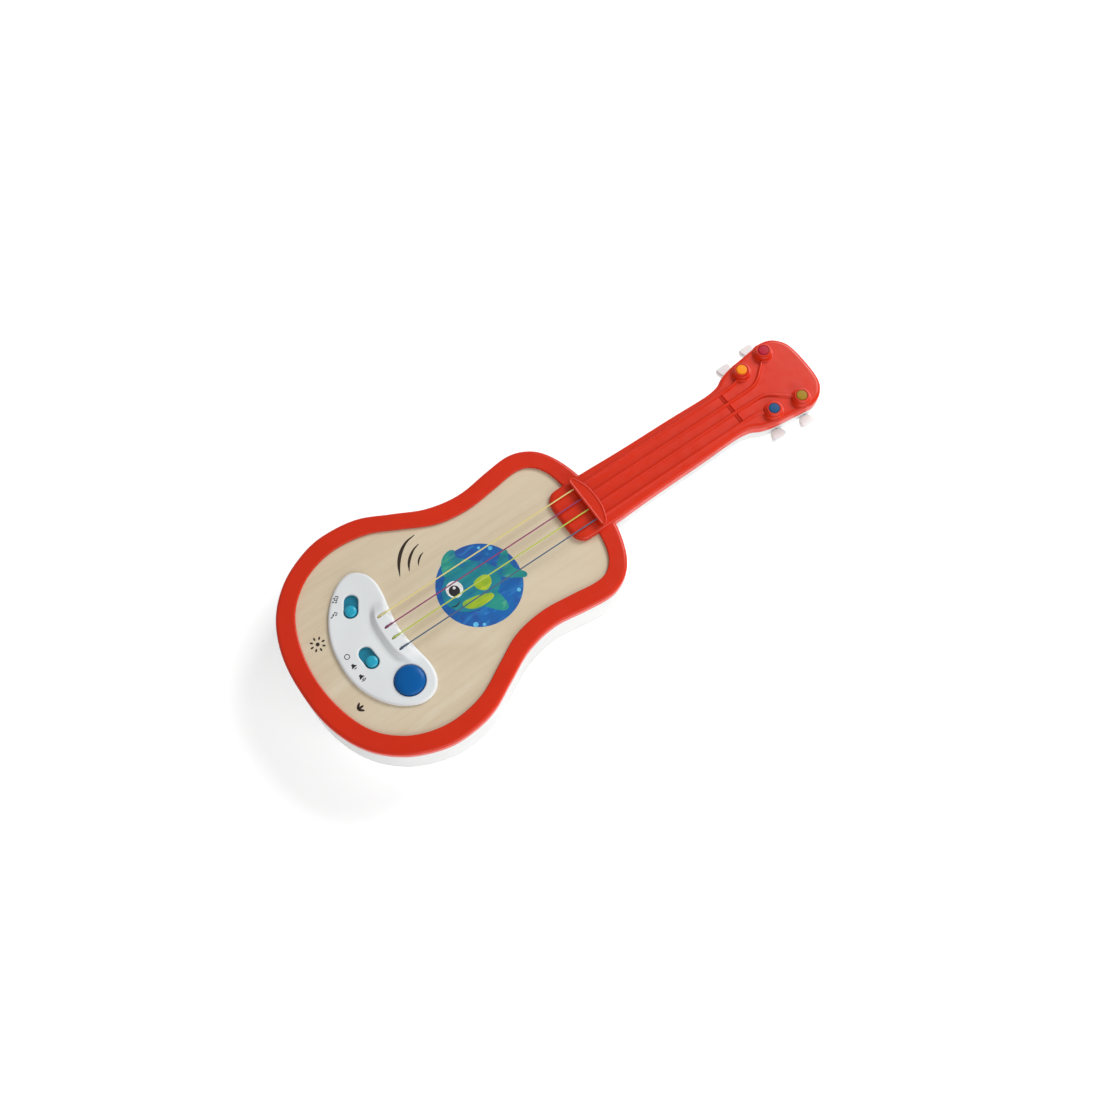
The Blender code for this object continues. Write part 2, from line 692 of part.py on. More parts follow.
def sliders():
    """Each cap has a knob, a skirt that keeps its slot covered, and a fork on the switch lever."""
    for name, place in (("mode", MODE_SLOT), ("volume", VOLUME_SLOT)):
        x, y = slot_end(place)
        cap = part(f"{name}_slider", TEAL, slider_skirt, (x, y, 0), place[2])
        join(cap, f"{name}_knob", lambda bm: turned(bm, KNOB_PROFILE, sides=18))
        join(cap, f"{name}_fork", slider_fork)
        part(f"{name}_switch_lever", BLACK,
             lambda bm: block(bm, (-1.0, -0.8, SWITCH_TOP_Z + GAP), (1.0, 0.8, SKIRT_Z[0] - GAP)),
             (x, y, 0), place[2])
        part(f"{name}_switch", STEEL,
             lambda bm: block(bm, (-7.0, -2.6, BOARD_Z + GAP), (7.0, 2.6, SWITCH_TOP_Z)),
             (*place[:2], 0), place[2])


def song_button():
    """A domed cup with a flange behind the panel and a stem over the switch."""
    profile = ((1.8, 37.0), (1.8, 39.9), (8.6, 39.6), (8.6, 36.3), (11.2, 36.3), (11.2, 37.5),
               (BUTTON_RADIUS, 37.5), (BUTTON_RADIUS, 40.5), (9.5, 41.4), (7.4, 42.0), (4.0, 42.4),
               (1.4, 42.5))
    part("song_button", BLUE, lambda bm: turned(bm, profile, sides=24), (*BUTTON_PLACE, 0))
    part("button_spring", STEEL, button_spring, (*BUTTON_PLACE, 0))
    switch = part("button_switch", BLACK,
                  lambda bm: block(bm, (-3, -3, BOARD_Z + GAP), (3, 3, 34.0)), (*BUTTON_PLACE, 0))
    join(switch, "switch_plunger", lambda bm: turned(bm, ((1.7, 33.5), (1.7, 34.8)), sides=10))


def button_spring(bm):
    turns, radius, wire = 3.5, 6.6, 0.4
    low, high = BOARD_Z + GAP + wire, 39.3 - wire
    count = int(turns * 12)
    path = []
    for i in range(count + 1):
        turn = 2 * math.pi * turns * i / count
        z = low + (high - low) * i / count
        path.append(Vector((radius * math.cos(turn), radius * math.sin(turn), z)))
    tube(bm, path, wire, sides=5)


# ---------------------------------------------------------------- head pieces

def caps():
    profile = ((CAP_RADIUS, CAP_Z), (CAP_RADIUS, 46.2), (2.8, 46.5))
    for number, (place, look) in enumerate(zip(PEG_BOSSES, (CRIMSON, OLIVE, ORANGE, SLATE)), 1):
        part(f"cap_{number}", look, lambda bm: turned(bm, profile, sides=14), (*place, 0))


PEG_TAB = (
    (1.3, -3.4), (3.6, -4.9), (6.2, -5.6), (7.9, -4.9), (8.6, -2.6),
    (8.6, 2.6), (7.9, 4.9), (6.2, 5.6), (3.6, 4.9), (1.3, 3.4),
)


def tuning_pegs():
    """Four like pegs: a tab outside, a shaft through the wall and a snap barb inside."""
    tab = [Vector(point) for point in PEG_TAB]
    levels = ((0.9, -2.5), (0, -1.8), (0, 1.8), (0.9, 2.5))
    shaft = ((1.2, -8.2), (2.7, -4.8), (2.7, -4.0), (PEG_SHAFT_RADIUS, -4.0),
             (PEG_SHAFT_RADIUS, 2.4))
    first = None
    number = 0
    for x, y in reversed(PEG_PLACES):
        for side in (-1, 1):
            number += 1
            place = (side * x, y, PEG_Z)
            turn = 0 if side > 0 else 180
            if first is None:
                peg = part(f"tuning_peg_{number}", WHITE, lambda bm: stack(bm, tab, levels))
                join(peg, "peg_shaft", lambda bm: turned(bm, shaft, sides=10, along_x=True))
                first = settle(peg)
                peg.location = Vector(place) * MM
                peg.rotation_euler.z = math.radians(turn)
            else:
                link_mesh(f"tuning_peg_{number}", first, None, place, turn)


# ---------------------------------------------------------------- screws

def screws():
    """Pan-head screws, all driven upwards from the back."""
    shank = 1.4
    housing = ((shank, 24.6), (2.1, 25.1), (2.1, SHOULDER_Z - GAP), (shank, SHOULDER_Z - GAP),
               (shank, 36.2), (0.6, 36.9))
    for number, (x, y) in enumerate(screw_places(), 1):
        part(f"housing_screw_{number}", STEEL, lambda bm: turned(bm, housing, sides=8), (x, y, 0))
    under = BOARD_Z - BOARD_THICK - GAP
    board = ((1.2, under - 1.9), (2.0, under - 1.4), (2.0, under), (1.2, under), (1.2, 35.6),
             (0.5, 36.2))
    for number, (x, y) in enumerate(BOARD_POSTS, 1):
        part(f"board_screw_{number}", STEEL, lambda bm: turned(bm, board, sides=8), (x, y, 0))


# ---------------------------------------------------------------- electronics

def electronics():
    outline = rectangle((-40, -169), (45, -132.5), chamfer=3.0)
    board = part("main_board", BOARD, lambda bm: prism(bm, outline, BOARD_Z - BOARD_THICK, BOARD_Z))

    def board_holes(bm):
        for x, y in BOARD_POSTS:
            turned(bm, ((1.5, BOARD_Z - 5), (1.5, BOARD_Z + 2)), (x, y, 0), sides=8)

    cut(board, "board_holes", board_holes)
    dome = ((5.2, BOARD_Z + GAP), (4.9, BOARD_Z + 1.0), (3.8, BOARD_Z + 1.6), (1.6, BOARD_Z + 1.9))
    part("sound_chip", BLACK, lambda bm: turned(bm, dome, sides=14), (-4, -145, 0))
    can = BOARD_Z - BOARD_THICK - GAP
    part("capacitor", BLACK, lambda bm: turned(bm, ((3.0, can - 7), (3.0, can)), sides=16), (26, -160, 0))
    part("sensor_sheet", FILM,
         lambda bm: block(bm, (-19, -121, WOOD_Z - WOOD_THICK - 0.6), (19, -8, WOOD_Z - WOOD_THICK - GAP)))
    part("sensor_ribbon", FILM, sensor_ribbon)


def sensor_ribbon(bm):
    """A flat lead from the sheet's end down to the board."""
    top = WOOD_Z - WOOD_THICK - GAP
    profile = ((-121.3, top), (-124.5, top - 0.2), (-129, top - 1.4), (-133, BOARD_Z + 0.8),
               (-139, BOARD_Z + 0.6))
    loops = []
    for y, z in profile:
        corners = ((-5, z - 0.3), (5, z - 0.3), (5, z), (-5, z))
        loops.append([Vector((x, y, height)) for x, height in corners])
    loft(bm, loops)


def speaker():
    x, y = SPEAKER_PLACE
    frame = ((20, 2.6), (20, 4.2), (17.6, 4.2), (10.6, 11.0), (8.0, 11.0), (8.0, 9.8), (10.0, 9.8),
             (16.6, 3.2), (16.6, 2.6))
    part("speaker_frame", STEEL, lambda bm: turned(bm, frame, sides=20, ring=True), (x, y, 0))
    cone = ((4.0, 8.7), (16.1, 3.2), (16.1, 2.6), (4.0, 7.8))
    part("speaker_cone", PAPER, lambda bm: turned(bm, cone, sides=20), (x, y, 0))
    magnet = ((8.2, 11.3), (8.2, 18.4), (7.6, 19.0))
    part("speaker_magnet", BLACK, lambda bm: turned(bm, magnet, sides=18), (x, y, 0))
    for number, (side, look) in enumerate(((-1, RED_WIRE), (1, BLACK_WIRE)), 1):
        route = ((side * 1.6, y - 9.4, 11.9), (side * 1.8, y - 10.6, 15), (side * 2.4, y - 18, 20),
                 (side * 3.0, y - 38, 23), (side * 3.2, y - 62, 24.5), (side * 3.2, y - 74, 26.2),
                 (side * 3.2, y - 79, 28.6))
        part(f"speaker_wire_{number}", look,
             lambda bm, route=route: tube(bm, rounded_path(route, 2), 0.55, sides=6))


def batteries():
    """Three cells side by side, each turned the other way from its neighbour."""
    start = BAY_HALF_X - 1.1 - BATTERY_LENGTH
    profile = ((BATTERY_RADIUS, start), (BATTERY_RADIUS, start + 43.1), (2.6, start + 43.1),
               (2.6, start + BATTERY_LENGTH))
    for number, step in enumerate((1, 0, -1), 1):
        turn = 0 if step else 180
        part(f"battery_{number}", LABEL, lambda bm: turned(bm, profile, sides=16, along_x=True),
             (0, BAY_Y + step * BATTERY_PITCH, BATTERY_Z), turn)


CONTACT_X = (24.2, 24.7)
SPRING_LENGTH = 3.2


def contact_spring(y, side):
    """A coil from the contact plate towards a cell's flat end."""
    def build(bm):
        turns, count = 2.0, 18
        path = []
        for i in range(count + 1):
            turn = 2 * math.pi * turns * i / count
            radius = 3.4 - 1.2 * i / count
            x = CONTACT_X[0] + 0.25 - (SPRING_LENGTH + 0.25) * i / count
            path.append(Vector((side * x, y + radius * math.cos(turn),
                                BATTERY_Z + radius * math.sin(turn))))
        tube(bm, path, 0.35, sides=5)
    return build


def contact(name, side, steps, spring_step, tab_step):
    """A plate at one end of the bay for one cell or two, with its spring and solder tab."""
    rows = [BAY_Y + step * BATTERY_PITCH for step in steps]
    low, high = sorted((side * CONTACT_X[0], side * CONTACT_X[1]))

    def plate(bm):
        block(bm, (low, min(rows) - 4.2, 4.0), (high, max(rows) + 4.2, 12.8))

    obj = part(name, STEEL, plate)
    if spring_step is not None:
        join(obj, f"{name}_spring", contact_spring(BAY_Y + spring_step * BATTERY_PITCH, side))
    if tab_step is not None:
        tab_y = BAY_Y + tab_step * BATTERY_PITCH
        join(obj, f"{name}_tab", lambda bm: block(bm, (low, tab_y - 1.3, 12), (high, tab_y + 1.3, 18)))


def battery_contacts():
    contact("contact_positive", 1, (1,), None, 1)
    contact("contact_link_left", -1, (1, 0), 1, None)
    contact("contact_link_right", 1, (0, -1), 0, None)
    contact("contact_negative", -1, (-1,), -1, -1)


def battery_wires():
    under = BOARD_Z - BOARD_THICK - 0.9
    routes = (
        (24.45, BAY_Y + BATTERY_PITCH, 18.9, 31.0, -138, RED_WIRE),
        (-24.45, BAY_Y - BATTERY_PITCH, 18.9, -31.0, -157, BLACK_WIRE),
    )
    for number, (x, y, z, end_x, end_y, look) in enumerate(routes, 1):
        middle = (x + end_x) / 2
        route = ((x, y, z), (x + (middle - x) * 0.2, y, z + 2.4), (middle, (y + end_y) / 2, 23.6),
                 (end_x, end_y, under - 2.6), (end_x, end_y, under))
        part(f"battery_wire_{number}", look,
             lambda bm, route=route: tube(bm, rounded_path(route, 2), 0.55, sides=6))


def battery_door():
    low = (-BAY_HALF_X - LEDGE + GAP, BAY_Y - BAY_HALF_Y - 2.4)
    high = (BAY_HALF_X + LEDGE - GAP, DOOR_TOP_Y - GAP)
    door = part("battery_door", WHITE,
                lambda bm: prism(bm, rectangle(low, high), 0.3, DOOR_SEAT_Z - GAP))
    pad = ((4.2, 0.3), (4.2, 4.1))
    join(door, "door_pad", lambda bm: turned(bm, pad, (0, DOOR_SCREW_Y, 0), sides=12))
    bore = ((3.0, -1), (3.0, 2.4), (PILOT_RADIUS, 2.4), (PILOT_RADIUS, 5))
    cut(door, "door_bore", lambda bm: turned(bm, bore, (0, DOOR_SCREW_Y, 0), sides=10))
    screw = ((1.4, 0.5), (2.6, 0.9), (2.6, 2.1), (1.4, 2.1), (1.4, 11.2), (0.6, 11.9))
    part("battery_door_screw", STEEL, lambda bm: turned(bm, screw, sides=10), (0, DOOR_SCREW_Y, 0))


# ---------------------------------------------------------------- build

for old in list(bpy.data.objects):
    bpy.data.objects.remove(old, do_unlink=True)

front_shell()
back_shell()
wood_face()
string_guard()
strings()
control_panel()
sliders()
song_button()
caps()
tuning_pegs()
screws()
electronics()
speaker()
batteries()
battery_contacts()
battery_wires()
battery_door()
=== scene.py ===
"""Looks of the toy guitar: fine mouldings, wood grain, printed picture, cords and small parts.

Sizes are in millimetres in the part's own frame, with +Y up the neck and +Z out of the face,
and meshes are made in metres. Each piece rides on the body of the CAD node that it stands for.
"""
import json
import math

import bmesh
import bpy
from mathutils import Matrix, Vector
from mathutils.geometry import interpolate_bezier


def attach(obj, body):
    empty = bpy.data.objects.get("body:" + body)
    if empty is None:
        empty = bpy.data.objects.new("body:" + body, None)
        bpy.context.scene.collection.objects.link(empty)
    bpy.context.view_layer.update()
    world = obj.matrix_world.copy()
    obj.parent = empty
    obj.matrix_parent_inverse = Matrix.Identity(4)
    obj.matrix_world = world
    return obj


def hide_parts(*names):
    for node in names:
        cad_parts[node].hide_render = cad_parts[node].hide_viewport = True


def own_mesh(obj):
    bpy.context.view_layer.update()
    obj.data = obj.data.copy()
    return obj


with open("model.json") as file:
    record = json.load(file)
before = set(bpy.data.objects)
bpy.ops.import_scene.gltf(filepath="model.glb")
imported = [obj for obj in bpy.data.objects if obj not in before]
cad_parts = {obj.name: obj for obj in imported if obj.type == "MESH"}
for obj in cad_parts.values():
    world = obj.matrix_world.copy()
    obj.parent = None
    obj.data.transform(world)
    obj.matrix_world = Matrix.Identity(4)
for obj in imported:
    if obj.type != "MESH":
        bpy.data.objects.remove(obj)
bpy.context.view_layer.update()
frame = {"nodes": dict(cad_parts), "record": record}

MM = 0.001
BODY = "guitar_body"

# ---- sizes shared with the CAD

WALL = 2.2
SEAM_Z = 33.0
FRONT_Z = 33.3
RIM_Z = 39.5
FLANGE_Z = 37.8
WOOD_Z = 37.5
NECK_Z = 41.5
NECK_BACK_Z = 19.0
NECK_PLATE_Z = 39.1
STRING_Z = 43.0
STRING_X = (-12.9, -4.3, 4.3, 12.9)
STRING_RADIUS = 0.45
STRING_HOLE_Y = -136.6
GUARD_PINS = ((-9, 20.2), (9, 20.2))
PANEL_Z = 39.7

BODY_HALF = (
    (0, -203), (28.1, -200.2), (52.1, -190.2), (69.3, -173.5), (79.3, -153.3), (82.5, -136),
    (79.7, -111.9), (69.2, -89.9), (59.4, -69.8), (55.3, -47), (58.4, -22), (59.8, -6),
    (57.3, 4.5), (50.7, 14), (39.3, 21.1), (21.3, 26.5), (0, 28.2),
)
WINDOW_HALF = (
    (0, -190.7), (25.9, -187.4), (46.8, -178.6), (60.4, -164.5), (67.6, -148.3), (69.7, -131),
    (66.1, -110.2), (56.2, -90.5), (46.2, -70.2), (42.9, -48), (45, -25), (47.1, -8),
    (45.2, 1.3), (37.1, 8.9), (22, 13), (0, 14.2),
)
TONGUE_HALF = ((0, -2.5), (9, -2.4), (14.6, -1.6), (17.4, 0.2), (19.9, 3.6), (20.4, 10))
NECK_HALF = (
    (20.4, 17.5), (20.5, 26), (19.3, 60), (18.7, 100), (17.9, 126), (18.1, 134),
    (19.5, 141.4), (22.7, 147.5), (25.3, 156.8), (26.7, 168), (28.2, 180), (28.7, 187),
    (26.6, 193.6), (22.4, 198.3), (17.2, 201.3), (10, 202.6), (0, 203),
)
PANEL_OUTLINE = (
    (0, -173.4), (14, -172.6), (26, -168.8), (37, -162), (45.2, -153), (49.6, -142.5),
    (47.6, -133), (40.5, -127.2), (30.5, -125.6), (16, -127.6), (0, -129.2), (-13, -127.6),
    (-26, -125.2), (-36.5, -124.8), (-45, -128.2), (-50, -135.5), (-48.6, -144.5),
    (-42.5, -154), (-32, -163.2), (-17, -170.6),
)
PEG_BOSSES = ((-20.9, 182), (20.9, 182), (-17.8, 160.7), (17.8, 160.7))
PEG_Z = 28.0
PEG_PLACES = ((25.0, 157.8), (27.9, 180))
SLOT_LENGTH = 16.2
SLOT_WIDTH = 9.4
SLIDER_TRAVEL = SLOT_LENGTH - SLOT_WIDTH
SKIRT_Z = (36.1, 37.4)
MODE_SLOT = (-30.2, -146.9, -33)
VOLUME_SLOT = (5.2, -155.8, 4)
KNOB_RADIUS = 3.9
BUTTON_PLACE = (32.7, -142.6)
BUTTON_RADIUS = 9.9
SPEAKER_PLACE = (0, -62)
BAY_Y = -140.0
BATTERY_PITCH = 11.0
BATTERY_Z = 8.4
DOOR_LOW = (-29.0, -159.5)
DOOR_HIGH = (29.0, -112.6)
DOOR_SEAT_Z = 2.3
DOOR_SCREW_Y = -117.9
SHOULDER_Z = 27.0

OUTLINE_STEPS = 7
RIM_POINTS = 300
ROUND = 48           # sides of a small turned piece
SHARP_FROM = 32      # degrees between two faces whose edge stays sharp
LARGE_FACES_WEIGH = 80
PRINT = 0.05         # thickness of the ink


# ---- outlines

def smooth(points, steps, closed):
    """Points on a smooth curve through the given ones, with so many steps between each two."""
    points = [Vector(point) for point in points]
    count = len(points)
    curve = []
    for i in range(count if closed else count - 1):
        near, far = points[i], points[(i + 1) % count]
        before = points[i - 1] if closed or i > 0 else near
        after = points[(i + 2) % count] if closed or i + 2 < count else far
        reach = (far - near).length / 3
        leave = near + (far - before).normalized() * reach
        arrive = far - (after - near).normalized() * reach
        curve += interpolate_bezier(near, leave, arrive, far, steps + 1)[:-1]
    if not closed:
        curve.append(points[-1])
    return curve


def flat(points):
    return [Vector(point[:2]) for point in points]


def both_sides(half):
    """The right-hand points, then their mirror images back down the left."""
    return list(half) + [(-x, y) for x, y in reversed(half) if x > 0]


def even(outline, count):
    """A closed outline as so many points, the same distance apart."""
    ends = outline[1:] + outline[:1]
    lengths = [(b - a).length for a, b in zip(outline, ends)]
    total = sum(lengths)
    points = []
    passed, i = 0.0, 0
    for k in range(count):
        goal = total * k / count
        while passed + lengths[i] < goal:
            passed += lengths[i]
            i += 1
        points.append(outline[i].lerp(ends[i], (goal - passed) / lengths[i]))
    return points


def inset(outline, distance):
    """A counter-clockwise outline moved inwards, or outwards where distance is negative."""
    moved = []
    count = len(outline)
    for i, point in enumerate(outline):
        before = (point - outline[i - 1]).normalized()
        after = (outline[(i + 1) % count] - point).normalized()
        along = (before + after).normalized()
        stretch = min(1 / max(along.dot(after), 0.5), 1.5)
        moved.append(point + Vector((-along.y, along.x)) * distance * stretch)
    return moved


def pill(length, width, sides=32):
    """A slot outline with half-round ends, centred, running along X."""
    points = []
    for end in (1, -1):
        for i in range(sides // 2 + 1):
            turn = math.pi * i / (sides // 2) - end * math.pi / 2
            middle = end * (length - width) / 2
            points.append(Vector((middle + math.cos(turn) * width / 2, math.sin(turn) * width / 2)))
    return points


def rounded_box(low, high, radius, steps=6):
    """A rectangle's outline with round corners."""
    points = []
    corners = ((high[0] - radius, low[1] + radius, -90), (high[0] - radius, high[1] - radius, 0),
               (low[0] + radius, high[1] - radius, 90), (low[0] + radius, low[1] + radius, 180))
    for x, y, first in corners:
        for i in range(steps + 1):
            turn = math.radians(first + 90 * i / steps)
            points.append(Vector((x + radius * math.cos(turn), y + radius * math.sin(turn))))
    return points


def ellipse(x, y, wide, high, lean=0.0, sides=40):
    """An ellipse's outline, turned by an angle in degrees."""
    turn = Matrix.Rotation(math.radians(lean), 2)
    return [turn @ Vector((wide * math.cos(2 * math.pi * i / sides),
                           high * math.sin(2 * math.pi * i / sides))) + Vector((x, y))
            for i in range(sides)]


def placed(outline, place):
    """An outline moved to (x, y) and turned by an angle in degrees."""
    turn = Matrix.Rotation(math.radians(place[2]), 2)
    return [turn @ point + Vector(place[:2]) for point in outline]


BODY_OUTLINE = flat(smooth(both_sides(BODY_HALF), OUTLINE_STEPS, closed=True))
WINDOW_OUTLINE = flat(smooth(both_sides(WINDOW_HALF), OUTLINE_STEPS, closed=True))
NECK_OUTLINE = flat(smooth(both_sides(NECK_HALF), OUTLINE_STEPS, closed=False))
TONGUE_NECK_OUTLINE = flat(smooth(both_sides(TONGUE_HALF + NECK_HALF), OUTLINE_STEPS, closed=True))
PANEL_CURVE = flat(smooth(PANEL_OUTLINE, OUTLINE_STEPS, closed=True))


def screw_places():
    """Where the housing screws go, in plan, in the order of their nodes' numbers."""
    inner = inset(flat(smooth(both_sides(BODY_HALF), 2, closed=True)), 6.1)
    places = []
    for index in (1, 5, 9, 11):
        point = inner[index * 2]
        places += [(point.x, point.y), (-point.x, point.y)]
    return places + [(0, 90), (0, 178)]


# ---- meshes

def skin(bm, loops, ring=False, look=0, ends_across=False):
    """Skin a stack of loops; close the ends, or join the last loop to the first."""
    rings = [[bm.verts.new(point) for point in loop] for loop in loops]
    pairs = list(zip(rings, rings[1:]))
    if ring:
        pairs.append((rings[-1], rings[0]))
    faces = []
    for low, high in pairs:
        for i in range(len(low)):
            j = (i + 1) % len(low)
            faces.append(bm.faces.new((low[i], low[j], high[j], high[i])))
    if not ring:
        for end in (rings[0][::-1], rings[-1]):
            if ends_across:
                for i in range((len(end) - 1) // 2):
                    tip = end[i + 1] == end[-2 - i]
                    faces.append(bm.faces.new((end[i], end[i + 1], end[-1 - i]) if tip else
                                              (end[i], end[i + 1], end[-2 - i], end[-1 - i])))
            else:
                faces.append(bm.faces.new(end))
    for face in faces:
        face.material_index = look


def stack(bm, outline, levels, look=0):
    """A solid whose outline is inset by a different amount at each height."""
    skin(bm, [[point.to_3d() + Vector((0, 0, z)) for point in inset(outline, amount)]
              for amount, z in levels], look=look)


def prism(bm, outline, low, high, look=0):
    stack(bm, outline, ((0, low), (0, high)), look)


def block(bm, low, high):
    outline = [Vector(p) for p in (low[:2], (high[0], low[1]), high[:2], (low[0], high[1]))]
    prism(bm, outline, low[2], high[2])


def turned(bm, profile, centre=(0, 0, 0), sides=ROUND, ring=False, along_x=False):
    """A turned solid from (radius, height) pairs; its axis is Z, or X where along_x is set."""
    place = Matrix.Translation(centre)
    if along_x:
        place = place @ Matrix.Rotation(math.pi / 2, 4, "Y")
    turns = [2 * math.pi * i / sides for i in range(sides)]
    skin(bm, [[place @ Vector((radius * math.cos(t), radius * math.sin(t), height)) for t in turns]
              for radius, height in profile], ring)


def quarter(start, end, steps=6, steep_first=True):
    """Points of a quarter ellipse from one (a, b) pair to another, leaving along b first."""
    points = []
    for i in range(steps + 1):
        turn = math.pi / 2 * i / steps
        rise, run = (math.sin(turn), 1 - math.cos(turn))
        if not steep_first:
            rise, run = run, rise
        points.append((start[0] + (end[0] - start[0]) * run, start[1] + (end[1] - start[1]) * rise))
    return points


def dome(radius, low, high, squareness, steps=12):
    """The profile of a domed top, from its wall inwards."""
    points = []
    for i in range(steps):
        turn = math.radians(86) * i / (steps - 1)
        points.append((radius * math.cos(turn) ** (2 / squareness), low + (high - low) * math.sin(turn)))
    return points


def sweep(bm, path, section):
    """A section of (side, up) pairs swept along a path that stays level."""
    loops = []
    for i, point in enumerate(path):
        ahead = (path[min(i + 1, len(path) - 1)] - path[max(i - 1, 0)]).normalized()
        side = Vector((ahead.y, -ahead.x, 0))
        loops.append([point + side * a + Vector((0, 0, b)) for a, b in section])
    skin(bm, loops)


def tube(bm, path, radius, sides):
    """A round bar along a path, closed at both ends."""
    loops = []
    side = None
    for i, point in enumerate(path):
        ahead = (path[min(i + 1, len(path) - 1)] - path[max(i - 1, 0)]).normalized()
        side = ahead.orthogonal() if side is None else side - ahead * side.dot(ahead)
        side.normalize()
        up = ahead.cross(side)
        turns = [2 * math.pi * (j + 0.5) / sides for j in range(sides)]
        loops.append([point + (side * math.cos(t) + up * math.sin(t)) * radius for t in turns])
    skin(bm, loops)


# ---- objects

def raw(name, build, looks=()):
    """An object in metres from a function that fills a bmesh in millimetres."""
    bm = bmesh.new()
    build(bm)
    bmesh.ops.remove_doubles(bm, verts=bm.verts, dist=1e-4)
    bmesh.ops.recalc_face_normals(bm, faces=bm.faces)
    bmesh.ops.scale(bm, vec=(MM, MM, MM), verts=bm.verts)
    mesh = bpy.data.meshes.new(name)
    bm.to_mesh(mesh)
    bm.free()
    for look in looks:
        mesh.materials.append(look)
    obj = bpy.data.objects.new(name, mesh)
    bpy.context.scene.collection.objects.link(obj)
    return obj


def bake(obj):
    """Replace an object's mesh by its evaluated one."""
    depsgraph = bpy.context.evaluated_depsgraph_get()
    mesh = bpy.data.meshes.new_from_object(obj.evaluated_get(depsgraph))
    mesh.name = obj.name
    obj.modifiers.clear()
    obj.data = mesh


def combine(obj, operation, builders):
    """Join shapes to an object, or cut them away, one after the other."""
    for build in builders:
        tool = raw("tool", build, obj.data.materials)
        modifier = obj.modifiers.new("combine", "BOOLEAN")
        modifier.operation = operation
        modifier.solver = "EXACT"
        modifier.object = tool
        bake(obj)
        bpy.data.objects.remove(tool, do_unlink=True)


def join(obj, *builders):
    combine(obj, "UNION", builders)


def cut(obj, *builders):
    combine(obj, "DIFFERENCE", builders)


def finished(obj, body=BODY, stands_for=(), place=None):
    """Shade a piece, and say what it rides on and stands for."""
    mesh = obj.data
    mesh.shade_smooth()
    mesh.set_sharp_from_angle(angle=math.radians(SHARP_FROM))
    even_out = obj.modifiers.new("even_out", "WEIGHTED_NORMAL")
    even_out.keep_sharp = True
    even_out.weight = LARGE_FACES_WEIGH
    if place is not None:
        obj.location = Vector(place[:3]) * MM
        obj.rotation_euler.z = math.radians(place[3])
    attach(obj, body)
    if stands_for:
        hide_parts(*stands_for)
    return obj


# ---- materials

class Shader:
    """A material under construction: a Principled surface and the nodes that feed it."""

    def __init__(self, name, colour, roughness, **sockets):
        self.material = bpy.data.materials.new(name)
        self.material.use_nodes = True
        self.tree = self.material.node_tree
        self.surface = self.tree.nodes["Principled BSDF"]
        self.surface.inputs["Base Color"].default_value = (*colour, 1)
        self.surface.inputs["Roughness"].default_value = roughness
        self.material.diffuse_color = (*colour, 1)
        for socket, value in sockets.items():
            self.surface.inputs[socket.replace("_", " ")].default_value = value

    def add(self, kind, **values):
        node = self.tree.nodes.new(kind)
        for key, value in values.items():
            setattr(node, key, value)
        return node

    def link(self, output, target):
        self.tree.links.new(output, target)

    def coordinates(self, stretch=(1, 1, 1), turn=0.0):
        place = self.add("ShaderNodeTexCoord")
        mapping = self.add("ShaderNodeMapping")
        mapping.inputs["Rotation"].default_value = (0, 0, math.radians(turn))
        mapping.inputs["Scale"].default_value = stretch
        self.link(place.outputs["Object"], mapping.inputs["Vector"])
        return mapping.outputs["Vector"]

    def noise(self, size, stretch=(1, 1, 1), turn=0.0, detail=3.0, warp=0.0):
        """Noise with features of about so many millimetres."""
        node = self.add("ShaderNodeTexNoise")
        node.inputs["Scale"].default_value = 1000 / size
        node.inputs["Detail"].default_value = detail
        node.inputs["Distortion"].default_value = warp
        self.link(self.coordinates(stretch, turn), node.inputs["Vector"])
        return node.outputs["Fac"]

    def ramp(self, value, stops):
        """A colour for each position along a value."""
        node = self.add("ShaderNodeValToRGB")
        elements = node.color_ramp.elements
        while len(elements) < len(stops):
            elements.new(0.5)
        for element, (position, colour) in zip(elements, stops):
            element.position = position
            element.color = (*colour, 1)
        self.link(value, node.inputs["Fac"])
        return node.outputs["Color"]

    def span(self, value, low, high, start=0.0, end=1.0):
        """A value mapped from start..end to low..high."""
        node = self.add("ShaderNodeMapRange")
        for socket, number in (("From Min", start), ("From Max", end), ("To Min", low), ("To Max", high)):
            node.inputs[socket].default_value = number
        self.link(value, node.inputs["Value"])
        return node.outputs["Result"]

    def mix(self, amount, first, second):
        node = self.add("ShaderNodeMix", data_type="RGBA")
        self.link(amount, node.inputs[0])
        for value, socket in ((first, node.inputs[6]), (second, node.inputs[7])):
            if isinstance(value, tuple):
                socket.default_value = (*value, 1)
            else:
                self.link(value, socket)
        return node.outputs[2]

    def colour(self, output):
        self.link(output, self.surface.inputs["Base Color"])

    def roughness(self, output):
        self.link(output, self.surface.inputs["Roughness"])

    def bump(self, height, depth):
        """Relief of so many millimetres; calls add up."""
        node = self.add("ShaderNodeBump")
        node.inputs["Strength"].default_value = 1.0
        node.inputs["Distance"].default_value = depth * MM
        self.link(height, node.inputs["Height"])
        normal = self.surface.inputs["Normal"]
        if normal.links:
            self.link(normal.links[0].from_socket, node.inputs["Normal"])
        self.link(node.outputs["Normal"], normal)


def shade_of(colour, factor):
    return tuple(min(channel * factor, 1.0) for channel in colour)


